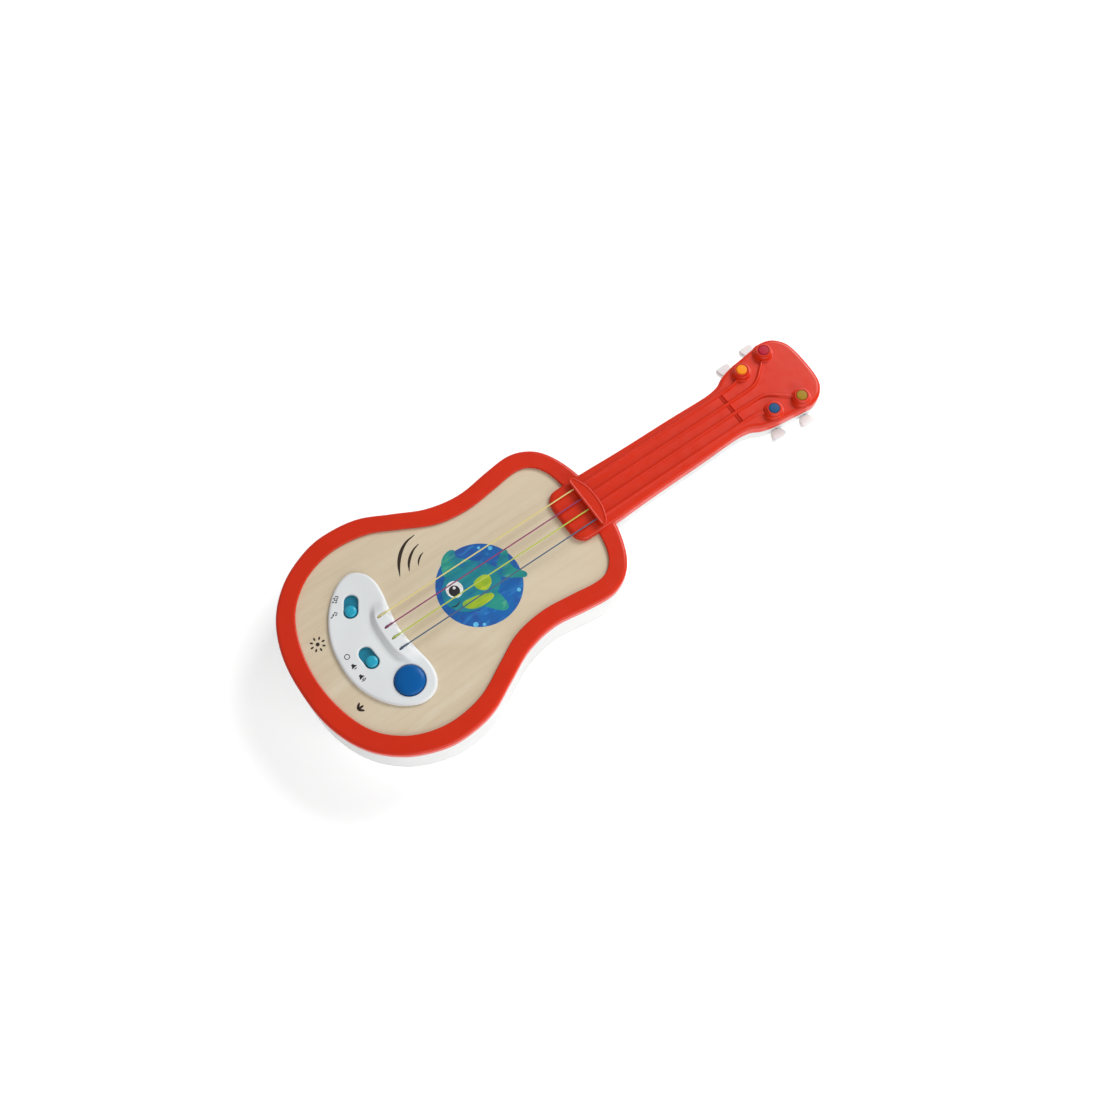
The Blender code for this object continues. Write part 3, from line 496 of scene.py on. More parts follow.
def plastic(name, colour, roughness, grain=0.006, **sockets):
    """Moulded plastic: faint flow patches, uneven gloss and a very fine skin."""
    shader = Shader(name, colour, roughness, **sockets)
    patches = shader.noise(38, detail=2.0, warp=0.4)
    shader.colour(shader.ramp(patches, ((0.3, shade_of(colour, 0.955)), (0.7, shade_of(colour, 1.03)))))
    shader.roughness(shader.span(shader.noise(7, detail=5.0), roughness - 0.05, roughness + 0.06, 0.3, 0.7))
    shader.bump(shader.noise(1.1, detail=2.0), grain)
    return shader.material


def wood():
    """Pale veneer: broad figure, streaks along the grain, short pores and a matt lacquer."""
    light, middle, dark = (0.735, 0.635, 0.475), (0.690, 0.575, 0.405), (0.605, 0.475, 0.310)
    shader = Shader("birch_veneer", middle, 0.5, Specular_IOR_Level=0.35, Coat_Weight=0.12, Coat_Roughness=0.35)
    figure = shader.noise(34, stretch=(1, 0.16, 1), turn=4, detail=3.0, warp=1.6)
    tone = shader.ramp(figure, ((0.25, light), (0.5, middle), (0.62, light), (0.8, shade_of(middle, 0.95))))
    streaks = shader.noise(3.2, stretch=(1, 0.045, 1), turn=3, detail=6.0, warp=0.3)
    tone = shader.mix(shader.span(streaks, 0.0, 0.34, 0.45, 0.75), tone, dark)
    pores = shader.noise(0.8, stretch=(1, 0.09, 1), turn=3, detail=2.0)
    tone = shader.mix(shader.span(pores, 0.0, 0.30, 0.62, 0.78), tone, shade_of(dark, 0.8))
    shader.colour(tone)
    shader.roughness(shader.span(streaks, 0.44, 0.56))
    shader.bump(streaks, 0.03)
    shader.bump(pores, 0.015)
    return shader.material


def paint(name, base, strokes, deep, turn=0.0, size=3.2):
    """Printed brushwork: lighter and deeper strokes over a ground colour."""
    shader = Shader(name, base, 0.42)
    clouds = shader.noise(14, detail=3.0, warp=0.8)
    ground = shader.mix(shader.span(clouds, 0.0, 1.0, 0.42, 0.68), base, deep)
    brush = shader.noise(size, stretch=(1, 0.30, 1), turn=turn, detail=4.0, warp=0.6)
    shader.colour(shader.mix(shader.span(brush, 0.0, 0.75, 0.54, 0.74), ground, strokes))
    shader.roughness(shader.span(brush, 0.36, 0.5))
    return shader.material


def ink(name, colour):
    """Screen-printed ink, slightly uneven."""
    shader = Shader(name, colour, 0.5)
    shader.colour(shader.ramp(shader.noise(0.9), ((0.35, colour), (0.75, shade_of(colour, 1.6)))))
    return shader.material


def cord(name, colour):
    """Elastic cord: a fine braid along its length."""
    shader = Shader(name, colour, 0.55, Sheen_Weight=0.15)
    braid = shader.add("ShaderNodeTexWave", wave_type="BANDS", bands_direction="DIAGONAL")
    braid.inputs["Scale"].default_value = 420
    braid.inputs["Distortion"].default_value = 0.6
    shader.link(shader.coordinates(), braid.inputs["Vector"])
    shader.colour(shader.ramp(braid.outputs["Fac"], ((0.1, shade_of(colour, 0.84)), (0.6, shade_of(colour, 1.06)))))
    shader.bump(braid.outputs["Fac"], 0.06)
    return shader.material


def metal(name, colour, roughness):
    """Plated steel with fine brushing and duller patches."""
    shader = Shader(name, colour, roughness, Metallic=1.0)
    brushed = shader.noise(0.5, stretch=(1, 0.1, 1), detail=4.0)
    shader.colour(shader.ramp(shader.noise(5), ((0.3, shade_of(colour, 0.85)), (0.7, colour))))
    shader.roughness(shader.span(brushed, roughness - 0.08, roughness + 0.12, 0.3, 0.7))
    shader.bump(brushed, 0.004)
    return shader.material


def board_laminate():
    """Solder mask with copper tracks faintly showing through."""
    shader = Shader("circuit_board", (0.03, 0.20, 0.06), 0.35)
    tracks = shader.add("ShaderNodeTexBrick", offset=0.5)
    tracks.inputs["Scale"].default_value = 160
    tracks.inputs["Color1"].default_value = (0.03, 0.20, 0.06, 1)
    tracks.inputs["Color2"].default_value = (0.02, 0.16, 0.05, 1)
    tracks.inputs["Mortar"].default_value = (0.10, 0.32, 0.10, 1)
    shader.link(shader.coordinates(), tracks.inputs["Vector"])
    shader.colour(tracks.outputs["Color"])
    shader.bump(tracks.outputs["Fac"], 0.03)
    return shader.material


def paper_cone():
    """Coated speaker paper with a fibrous surface."""
    shader = Shader("speaker_paper", (0.05, 0.05, 0.055), 0.8)
    fibres = shader.noise(0.7, detail=6.0)
    shader.colour(shader.ramp(fibres, ((0.3, (0.03, 0.03, 0.035)), (0.7, (0.09, 0.09, 0.10)))))
    shader.bump(fibres, 0.08)
    return shader.material


RED = plastic("red_plastic", (0.665, 0.023, 0.001), 0.33, Specular_IOR_Level=0.36)
WHITE = plastic("white_plastic", (0.80, 0.82, 0.83), 0.40, Specular_IOR_Level=0.4)
BACK_WHITE = plastic("white_plastic_textured", (0.71, 0.715, 0.71), 0.5, grain=0.03)
PEG_WHITE = plastic("peg_plastic", (0.87, 0.885, 0.88), 0.32, Subsurface_Weight=0.15, Subsurface_Scale=0.004)
TEAL = plastic("teal_plastic", (0.014, 0.37, 0.54), 0.26)
# A darker copy of the teal for the slider skirts: painted shade for the depth of the slots, though skirt and knob are
# one moulding.
TEAL_PAINTED_SHADE = plastic("teal_plastic_painted_shade", (0.004, 0.215, 0.33), 0.35)
BLUE = plastic("blue_plastic", (0.000, 0.103, 0.36), 0.33, Specular_IOR_Level=0.22)
CAP_LOOKS = [(name, plastic(name, colour, 0.4, Specular_IOR_Level=0.2)) for name, colour in (
    ("crimson_plastic", (0.46, 0.008, 0.030)), ("olive_plastic", (0.35, 0.205, 0.010)),
    ("orange_plastic", (0.93, 0.29, 0.004)), ("slate_plastic", (0.012, 0.085, 0.215)),
)]
CORD_LOOKS = [(name, cord(name, colour)) for name, colour in (
    ("yellow_cord", (0.80, 0.67, 0.24)), ("purple_cord", (0.26, 0.03, 0.13)),
    ("green_cord", (0.50, 0.60, 0.08)), ("blue_cord", (0.06, 0.11, 0.19)),
)]
STEEL = metal("steel", (0.62, 0.62, 0.63), 0.3)
SLEEVE = plastic("battery_sleeve", (0.03, 0.20, 0.09), 0.3)
SLEEVE_BAND = plastic("battery_band", (0.60, 0.60, 0.58), 0.3)
DARK_INK = ink("dark_ink", (0.022, 0.010, 0.004))
BLACK_INK = ink("black_ink", (0.012, 0.012, 0.014))
WHITE_INK = ink("white_ink", (0.80, 0.82, 0.80))
DISC_PAINT = paint("disc_paint", (0.001, 0.125, 0.43), (0.03, 0.27, 0.66), (0.012, 0.085, 0.36), turn=-35)
FISH_PAINT = paint("fish_paint", (0.006, 0.25, 0.31), (0.03, 0.36, 0.28), (0.006, 0.15, 0.36), turn=20, size=4.5)
FIN_PAINT = paint("fin_paint", (0.012, 0.30, 0.24), (0.10, 0.46, 0.26), (0.005, 0.20, 0.30), turn=60)
BELLY_PAINT = paint("belly_paint", (0.40, 0.55, 0.02), (0.62, 0.70, 0.04), (0.10, 0.40, 0.04), turn=10)

NODE_LOOKS = {
    "red_plastic": RED, "white_plastic": WHITE, "wood": wood(), "teal_plastic": TEAL, "blue_plastic": BLUE,
    "steel": STEEL, "battery_sleeve": SLEEVE, "circuit_board": board_laminate(), "speaker_paper": paper_cone(),
    "black_plastic": plastic("black_plastic", (0.02, 0.02, 0.022), 0.45),
    "magnet": plastic("magnet", (0.025, 0.024, 0.024), 0.65, grain=0.05),
    "sensor_film": plastic("sensor_film", (0.55, 0.28, 0.06), 0.3),
    "red_wire": plastic("red_wire", (0.55, 0.02, 0.02), 0.45),
    "black_wire": plastic("black_wire", (0.02, 0.02, 0.02), 0.45),
    **dict(CAP_LOOKS), **dict(CORD_LOOKS),
}


def dress_cad_nodes():
    """Every CAD node gets the procedural material of its slot; some are replaced later."""
    for subpart in frame["record"]["subparts"]:
        node = frame["nodes"][subpart["node"]]
        node.data.materials.clear()
        node.data.materials.append(NODE_LOOKS[subpart["material_slot"]])


# ---- front moulding

RIB_HALF = ((1.7, -0.5), (1.7, -0.02), (1.35, 0.08), (1.1, 0.34), (0.95, 0.72), (0.72, 1.06), (0.38, 1.25))
RIB_SECTION = RIB_HALF + ((0, 1.31),) + tuple((-side, up) for side, up in RIB_HALF[::-1])


def rim(bm):
    """The rim as one ring: outer wall, soft outer edge, flat top, window edge and underside."""
    outer, window = even(BODY_OUTLINE, RIM_POINTS), even(WINDOW_OUTLINE, RIM_POINTS)
    course = [(outer, 0, FRONT_Z)]
    course += [(outer, amount, z) for amount, z in quarter((0, 37.6), (2.6, RIM_Z), steps=8)]
    course += [(window, amount, z) for amount, z in quarter((-0.9, RIM_Z), (0, 38.6), steep_first=False)]
    course += [(window, 0, FLANGE_Z), (outer, WALL, FLANGE_Z), (outer, WALL, FRONT_Z)]
    skin(bm, [[point.to_3d() + Vector((0, 0, z)) for point in inset(outline, amount)]
              for outline, amount, z in course], ring=True)


def neck_plate(bm):
    """The neck, head and tongue: a shallow hollow tray, open downwards."""
    levels = [(3.2, NECK_Z)] + quarter((3.2, NECK_Z), (0, 39.0), steps=8, steep_first=False)[1:]
    levels += [(0, FRONT_Z), (WALL, FRONT_Z), (WALL, NECK_PLATE_Z)]
    stack(bm, TONGUE_NECK_OUTLINE, levels)


def tongue_underside(bm):
    block(bm, (-26, -12, 30), (26, 17.5, FLANGE_Z))


def ribs(side):
    """Two ribs on one side: straight up the neck, then swept out to the head's bosses."""
    def build(bm):
        start = 22.5
        outer = ((13.1, start), (13.0, 60), (12.9, 145), (13.7, 151.5), (15.6, 156.5), (16.6, 158.4))
        inner = ((4.3, start), (4.3, 60), (4.3, 157), (6.0, 164.5), (11.5, 172), (16.8, 178))
        for points in (outer, inner):
            path = [Vector((side * p[0], p[1], NECK_Z)) for p in flat(smooth(points, 10, closed=False))]
            sweep(bm, path, RIB_SECTION)
    return build


def bosses(bm):
    """Round pucks on the head, filleted at the foot, with a seat for the coloured cap."""
    profile = [(7.3, 41.0), (7.3, 41.48), (6.75, 41.62), (6.4, 41.95), (6.2, 42.5), (6.1, 43.2)]
    profile += quarter((6.1, 44.2), (4.7, 46.2), steps=7, steep_first=False) + [(4.1, 46.2), (3.9, 46.0), (3.9, 44.9)]
    for x, y in PEG_BOSSES:
        turned(bm, profile, (x, y, 0))


def nut(bm):
    """Two raised bars across the neck, broken where the ribs pass."""
    for low, high in ((-12.0, -5.2), (-3.5, 3.5), (5.2, 12.0)):
        for y, width, height in ((139.9, 1.35, 1.05), (137.7, 0.7, 0.7)):
            outline = rounded_box((low, y - width / 2), (high, y + width / 2), width * 0.45, steps=4)
            top = NECK_Z + height
            stack(bm, outline, ((-0.25, NECK_Z - 0.5), (-0.25, NECK_Z), (0, NECK_Z + 0.2), (0.02, top - 0.32),
                                (0.1, top - 0.12), (0.25, top)))


def guard_pin_holes(bm):
    for place in GUARD_PINS:
        turned(bm, ((1.8, NECK_PLATE_Z - 2), (1.8, NECK_Z + 2)), (*place, 0), sides=24)


def front_moulding():
    shell = raw("front_moulding", neck_plate, [RED])
    cut(shell, tongue_underside)
    join(shell, rim, ribs(1), ribs(-1), bosses, nut)
    cut(shell, guard_pin_holes)
    finished(shell, stands_for=("front_shell",))


# ---- back moulding

def neck_trough(levels):
    """The neck's back or its hollow, which deepens into a heel where it meets the body."""
    def build(bm):
        loops = []
        for amount, z in levels:
            loop = []
            for point in inset(NECK_OUTLINE, amount):
                heel = 1 + 0.62 * math.exp(-((point.y - 24.0) / 17.0) ** 2)
                loop.append(Vector((point.x, point.y, SEAM_Z - (SEAM_Z - z) * heel)))
            loops.append(loop)
        skin(bm, loops, ends_across=True)
    return build


def tub(bm):
    levels = [(4.6, 0)] + quarter((4.6, 0), (0, 4.6), steps=8, steep_first=False)[1:] + [(0, SEAM_Z)]
    stack(bm, BODY_OUTLINE, levels)


def tub_cavity(bm):
    stack(bm, BODY_OUTLINE, ((6.4, WALL), (3.6, 3.4), (2.6, 7), (WALL, SEAM_Z + 3)))


def screw_posts(bm):
    for x, y in screw_places():
        foot = NECK_BACK_Z + 1.5 if x == 0 else 1.2
        turned(bm, ((3.6, foot), (3.6, SEAM_Z)), (x, y, 0), sides=24)


def screw_bores(bm):
    for x, y in screw_places():
        face = NECK_BACK_Z if x == 0 else 0
        turned(bm, ((3.3, face - 2), (3.3, face), (2.8, face + 0.35), (2.5, face + 0.9), (2.5, SHOULDER_Z),
                    (1.7, SHOULDER_Z), (1.7, SEAM_Z + 1)), (x, y, 0), sides=28)


def grille_slots(bm):
    for i in range(-3, 4):
        x = i * 4.4
        length = 2 * math.sqrt(17.0 ** 2 - x ** 2)
        outline = placed(pill(length, 2.2, sides=16), (SPEAKER_PLACE[0] + x, SPEAKER_PLACE[1], 90))
        stack(bm, outline, ((-0.5, -2), (-0.5, 0), (-0.15, 0.2), (0, 0.6), (0, 4)))


def speaker_seat(bm):
    turned(bm, ((20.9, 1.4), (23.2, 1.4), (23.2, 7.0), (20.9, 7.0)), (*SPEAKER_PLACE, 0), ring=True)


def bay_block(bm):
    block(bm, (-31, BAY_Y - 21.8, 1.2), (31, DOOR_HIGH[1] + 2.4, 16.4))


def bay_pocket(bm):
    outline = rounded_box((-25, BAY_Y - 16.8), (25, BAY_Y + 16.8), 1.0)
    prism(bm, outline, 1.8, 14.4)


def door_recess(bm):
    stack(bm, rounded_box(DOOR_LOW, DOOR_HIGH, 1.2), ((-0.4, -2), (-0.4, 0), (-0.12, 0.12), (0, 0.4), (0, DOOR_SEAT_Z)))


def bay_details(bm):
    turned(bm, ((4.6, 1), (4.6, 4.4), (1.7, 4.4), (1.7, 12.5)), (0, DOOR_SCREW_Y, 0), sides=32)
    for side, y in ((1, BAY_Y + BATTERY_PITCH), (-1, BAY_Y - BATTERY_PITCH)):
        low, high = sorted((side * 23.9, side * 25.0))
        block(bm, (low, y - 1.6, 13.4), (high, y + 1.6, 17.4))


def peg_holes(bm):
    for x, y in PEG_PLACES:
        for side in (-1, 1):
            turned(bm, ((2.3, -6), (2.3, 6)), (side * x, y, PEG_Z), sides=28, along_x=True)


def cell_ribs(bm):
    """Low ribs in the bay's roof between the cells."""
    for step in (-0.5, 0.5):
        y = BAY_Y + step * BATTERY_PITCH
        block(bm, (-18, y - 0.4, 12.6), (18, y + 0.4, 15))


def back_moulding():
    shell = raw("back_moulding", tub, [BACK_WHITE])
    outside = ((5.0, NECK_BACK_Z), (3.1, 19.5), (1.6, 20.9), (0.7, 23.0), (0.2, 26.5), (0, SEAM_Z))
    inside = ((6.0, NECK_BACK_Z + WALL), (3.2, 24), (WALL, SEAM_Z + 2))
    join(shell, neck_trough(outside))
    cut(shell, tub_cavity, neck_trough(inside))
    join(shell, screw_posts, bay_block, speaker_seat)
    cut(shell, screw_bores, grille_slots, peg_holes, bay_pocket, door_recess, bay_details)
    join(shell, cell_ribs)
    finished(shell, stands_for=("back_shell",))


# ---- string guard and strings

GUARD_HALF = ((17.6, 16.2), (19.4, 16.9), (20.2, 18.6), (18.9, 20.6), (15.2, 22.6), (8, 24.9), (0, 25.5))


def guard_body(bm):
    outline = even(flat(smooth(both_sides(GUARD_HALF), 8, closed=False)), 120)
    levels = [(1.2, 41.8), (1.2, 43.6), (0.9, 43.95), (0.3, 44.15), (0, 44.5)]
    levels += quarter((0, 45.2), (0.75, 46.0), steps=6, steep_first=False)
    levels += [(1.1, 45.98), (1.3, 45.88), (1.55, 45.66), (1.8, 45.6)]
    stack(bm, outline, levels)


def string_end(x):
    """How far up the neck the string at x reaches, inside the guard."""
    return 21.8 - abs(x) / 6


def guard_string_holes(bm):
    for x in STRING_X:
        ends = [Vector((x, 12.5, STRING_Z)), Vector((x, string_end(x) + 0.6, STRING_Z))]
        tube(bm, ends, STRING_RADIUS + 0.4, sides=20)


def guard_pins(bm):
    for place in GUARD_PINS:
        turned(bm, ((1.5, NECK_PLATE_Z - 0.8), (1.5, NECK_Z + 1.2)), (*place, 0), sides=24)


def guard():
    obj = raw("string_guard_moulding", guard_body, [RED])
    join(obj, guard_pins)
    cut(obj, guard_string_holes)
    finished(obj, stands_for=("string_guard",))


def strings():
    """Each cord comes up out of the bridge hump, bends over and runs to the guard."""
    bend = 1.6
    for number, (x, (slot, look)) in enumerate(zip(STRING_X, CORD_LOOKS), 1):
        path = [Vector((x, STRING_HOLE_Y, 38.6))]
        for i in range(13):
            turn = math.pi / 2 * i / 12
            path.append(Vector((x, STRING_HOLE_Y + bend * (1 - math.cos(turn)),
                                STRING_Z - bend * (1 - math.sin(turn)))))
        start, end = path[-1].y, string_end(x)
        path += [Vector((x, start + (end - start) * i / 80, STRING_Z)) for i in range(1, 81)]
        obj = raw(f"cord_{number}", lambda bm: tube(bm, path, STRING_RADIUS, sides=14), [look])
        finished(obj, stands_for=(f"string_{number}",))


# ---- control panel

HUMP_X, HUMP_HALF = 0.4, 24.0
HUMP_HEIGHT = 3.3
HUMP_FOOT_Y, HUMP_EDGE_Y = -143.8, -127.8


def share(value):
    return min(max(value, 0), 1)


def hump(x, y):
    """Height of the bridge platform over the panel: a flat top, and a scooped slope on its tail side."""
    across = abs(x - HUMP_X) / HUMP_HALF
    rise = share((y - HUMP_FOOT_Y - 6.5 * across ** 3) / 4.4) * share((1 - across) / 0.36)
    fall = share((HUMP_EDGE_Y - y) / 4.5)
    return HUMP_HEIGHT * rise * rise * (3 - 2 * rise) * math.sqrt(fall * (2 - fall))


def panel_face(bm):
    """A bean with a soft edge, whose face closes onto a curved spine and rises into the hump."""
    loops = [[p.to_3d() + Vector((0, 0, z)) for p in inset(PANEL_CURVE, amount)]
             for amount, z in [(0, FLANGE_Z)] + quarter((0, 38.1), (2.0, PANEL_Z), steps=6)]
    rings = 44
    for i in range(1, rings + 1):
        loop = []
        for point in inset(PANEL_CURVE, 2.0):
            x = max(-33.0, min(33.0, point.x * 0.82))
            spine = Vector((x, -150.5 + (x / 33.0) ** 2 * 8.5))
            spot = point.lerp(spine, i / (rings + 0.02))
            loop.append(Vector((spot.x, spot.y, PANEL_Z + hump(spot.x, spot.y))))
        loops.append(loop)
    skin(bm, loops)


def flared_slot(place):
    def build(bm):
        outline = placed(pill(SLOT_LENGTH, SLOT_WIDTH), place)
        stack(bm, outline, ((0, 34), (0, 39.0), (-0.12, 39.35), (-0.4, 39.6), (-0.8, 39.72), (-0.8, 42)))
    return build


def button_hole(bm):
    radius = BUTTON_RADIUS + 0.4
    turned(bm, ((radius, 34), (radius, 39.0), (radius + 0.12, 39.35), (radius + 0.4, 39.6),
                (radius + 0.8, 39.72), (radius + 0.8, 44)), (*BUTTON_PLACE, 0), sides=72)


def string_slots(bm):
    """Short slots, flared at the top, that the cords come out of."""
    for x in STRING_X:
        outline = placed(pill(3.0, 1.35, sides=20), (x, STRING_HOLE_Y + 0.75, 90))
        stack(bm, outline, ((0, 35), (0, 42.3), (-0.1, 42.7), (-0.3, 43.0), (-0.3, 47)))


def string_grooves(bm):
    half = STRING_RADIUS + 0.3
    for x in STRING_X:
        path = [Vector((x, STRING_HOLE_Y, STRING_Z)), Vector((x, STRING_HOLE_Y + 16, STRING_Z))]
        section = [(-half, 4), (-half, 0)]
        turns = [math.radians(t) for t in range(200, 341, 20)]
        section += [(half * math.cos(t), half * math.sin(t)) for t in turns]
        section += [(half, 0), (half, 4)]
        sweep(bm, path, section[::-1])


def panel():
    obj = raw("panel_moulding", panel_face, [WHITE])
    cut(obj, flared_slot(MODE_SLOT), flared_slot(VOLUME_SLOT), button_hole, string_slots, string_grooves)
    finished(obj, stands_for=("control_panel",))


def slider(name, place):
    """A round knob on a skirt that keeps its slot covered; the skirt wears a darker copy of the teal as painted shade.
    """
    turn = math.radians(place[2])
    x = place[0] + math.cos(turn) * SLIDER_TRAVEL / 2
    y = place[1] + math.sin(turn) * SLIDER_TRAVEL / 2

    def skirt(bm):
        # the skirt takes the darker teal copy, painted shade for the slot's depth
        prism(bm, pill(SLOT_LENGTH + SLIDER_TRAVEL + 1.0, SLOT_WIDTH + 1.6), *SKIRT_Z, look=1)

    def knob(bm):
        turned(bm, [(KNOB_RADIUS, 36.8)] + dome(KNOB_RADIUS, 39.7, 41.3, squareness=3.6), sides=56)

    def fork(bm):
        for side in (-1, 1):
            near, far = sorted((side * 1.3, side * 2.5))
            block(bm, (near, -1.6, 34.6), (far, 1.6, 36.5))

    obj = raw(f"{name}_slider_cap", knob, [TEAL, TEAL_PAINTED_SHADE])
    join(obj, skirt, fork)
    finished(obj, f"{name}_slider", (f"{name}_slider",), (x, y, 0, place[2]))


def button():
    """A domed cup with a flange behind the panel and a stem over the switch."""
    profile = [(1.8, 37.0), (1.8, 39.9), (8.6, 39.6), (8.6, 36.3), (11.2, 36.3), (11.2, 37.5),
               (BUTTON_RADIUS, 37.5)]
    profile += dome(BUTTON_RADIUS, 40.0, 42.5, squareness=3.2, steps=18)
    obj = raw("song_button_cap", lambda bm: turned(bm, profile, sides=72), [BLUE])
    finished(obj, "song_button", ("song_button",), (*BUTTON_PLACE, 0, 0))


def button_spring():
    """The button's coil spring, built at one length; the real spring shortens as the button goes in."""
    low, high, radius, turns, wire = 31.35, 38.9, 6.6, 3.5, 0.4
    count = 140
    path = []
    for i in range(count + 1):
        turn = 2 * math.pi * turns * i / count
        path.append(Vector((radius * math.cos(turn), radius * math.sin(turn), low + (high - low) * i / count)))
    obj = raw("button_spring_coil", lambda bm: tube(bm, path, wire, sides=10), [STEEL])
    finished(obj, stands_for=("button_spring",), place=(*BUTTON_PLACE, 0, 0))
    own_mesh(obj)


# ---- head pieces

def caps():
    profile = [(3.6, 45.2)] + quarter((3.6, 46.1), (3.1, 46.42), steps=4, steep_first=False)
    profile += [(1.8, 46.48), (0.5, 46.5)]
    for number, (place, (slot, look)) in enumerate(zip(PEG_BOSSES, CAP_LOOKS), 1):
        obj = raw(f"cap_disc_{number}", lambda bm: turned(bm, profile), [look])
        finished(obj, stands_for=(f"cap_{number}",), place=(*place, 0, 0))


PEG_TAB_HALF = ((8.6, 2.6), (7.9, 4.9), (6.2, 5.6), (3.6, 4.9), (1.3, 3.4))
PEG_TAB = tuple((x, -y) for x, y in PEG_TAB_HALF[::-1]) + ((8.6, 0.0),) + PEG_TAB_HALF


def tuning_pegs():
    """A waisted tab outside, a shaft with a collar, and a snap barb inside."""
    tab = flat(smooth(PEG_TAB, 6, closed=True))
    half = [(0, 1.4), (0.2, 1.95), (0.65, 2.36), (1.3, 2.5)]
    levels = [(amount, -z) for amount, z in half[::-1]] + half
    shaft = ((1.2, -8.2), (2.7, -4.8), (2.7, -4.0), (1.9, -4.0), (1.9, 2.4))
    number = 0
    for x, y in reversed(PEG_PLACES):
        for side in (-1, 1):
            number += 1
            obj = raw(f"peg_{number}", lambda bm: stack(bm, tab, levels), [PEG_WHITE])
            join(obj, lambda bm: turned(bm, shaft, sides=28, along_x=True))
            name = f"tuning_peg_{number}"
            finished(obj, name, (name,), (side * x, y, PEG_Z, 0 if side > 0 else 180))


# ---- back pieces

def cross_recess(low, high, size):
    """The two arms of a cross-shaped driver recess, narrower at its bottom."""
    def arm(turn):
        outline = placed(rounded_box((-size, -size * 0.24), (size, size * 0.24), size * 0.1, steps=2), (0, 0, turn))
        return lambda bm: stack(bm, outline, ((-0.05, low - 1), (0, low), (size * 0.12, high)))
    return arm(0), arm(90)


def housing_screws():
    profile = [(0.6, 25.05), (1.4, 25.15), (1.85, 25.35), (2.1, 25.75), (2.1, 26.7), (1.4, 26.7), (1.4, 36.2),
               (0.6, 36.9)]
    for number, (x, y) in enumerate(screw_places(), 1):
        obj = raw(f"screw_{number}", lambda bm: turned(bm, profile, sides=24), [STEEL])
        cut(obj, *cross_recess(25.2, 26.3, 1.25))
        finished(obj, stands_for=(f"housing_screw_{number}",), place=(x, y, 0, 0))


def door():
    """The battery door: soft edges, a moulded grip and a counterbored screw pad."""
    low, high = (DOOR_LOW[0] + 0.3, DOOR_LOW[1] + 0.3), (DOOR_HIGH[0] - 0.3, DOOR_HIGH[1] - 0.3)

    def leaf(bm):
        stack(bm, rounded_box(low, high, 1.0), ((0.35, 0.3), (0.1, 0.4), (0, 0.65), (0, 2.0)))

    def pad(bm):
        turned(bm, ((4.2, 1.0), (4.2, 4.1)), (0, DOOR_SCREW_Y, 0), sides=36)

    def bore(bm):
        turned(bm, ((3.4, -1), (3.4, 0.3), (3.1, 0.45), (3.0, 0.8), (3.0, 2.4), (1.7, 2.4), (1.7, 5)),
               (0, DOOR_SCREW_Y, 0), sides=36)

    def grip(bm):
        for i in range(5):
            y = low[1] + 5.0 + i * 2.4
            outline = placed(pill(22 - i * 3.2, 1.0, sides=12), (0, y, 0))
            stack(bm, outline, ((-0.15, -1), (-0.15, 0.3), (0.2, 0.75)))

    obj = raw("battery_door_moulding", leaf, [BACK_WHITE])
    join(obj, pad)
    cut(obj, bore, grip)
    finished(obj, "battery_door", ("battery_door",))
    screw = ((1.2, 0.5), (2.0, 0.6), (2.5, 0.95), (2.6, 1.4), (2.6, 2.1), (1.4, 2.1), (1.4, 11.2), (0.6, 11.9))
    obj = raw("door_screw", lambda bm: turned(bm, screw, sides=32), [STEEL])
    cut(obj, *cross_recess(0.5, 1.6, 1.5))
    finished(obj, "battery_door", ("battery_door_screw",), (0, DOOR_SCREW_Y, 0, 0))


def cells():
    """Three cells: sleeve with a pale band, crimped ends and a button terminal."""
    start = -20.1
    sleeve = [(4.2, start), (4.7, start), (4.75, start + 0.25), (5.15, start + 0.7), (5.15, start + 31.5)]
    band = [(5.15, start + 31.5), (5.15, start + 42.2)]
    top = [(4.9, start + 42.8), (4.2, start + 43.1), (2.8, start + 43.1), (2.6, start + 43.3), (2.5, start + 43.9),
           (2.2, start + 44.0)]
    for number, step in enumerate((1, 0, -1), 1):
        def build(bm):
            turned(bm, sleeve + band[1:] + top, sides=40, along_x=True)
            for face in bm.faces:
                middle = face.calc_center_median().x
                face.material_index = 2 if middle > start + 42.9 or middle < start + 0.1 else (
                    1 if middle > start + 31.5 else 0)
        obj = raw(f"cell_{number}", build, [SLEEVE, SLEEVE_BAND, STEEL])
        finished(obj, stands_for=(f"battery_{number}",),
                 place=(0, BAY_Y + step * BATTERY_PITCH, BATTERY_Z, 0 if step else 180))


# ---- prints

def stroke(points, widths, steps=10):
    """An outline around a smooth line whose width changes from point to point."""
    path = smooth([(*point, width) for point, width in zip(points, widths)], steps, closed=False)
    left, right = [], []
    for i, point in enumerate(path):
        ahead = (path[min(i + 1, len(path) - 1)] - path[max(i - 1, 0)]).to_2d().normalized()
        side = Vector((-ahead.y, ahead.x)) * point.z / 2
        left.append(point.to_2d() + side)
        right.append(point.to_2d() - side)
    return right + left[::-1]


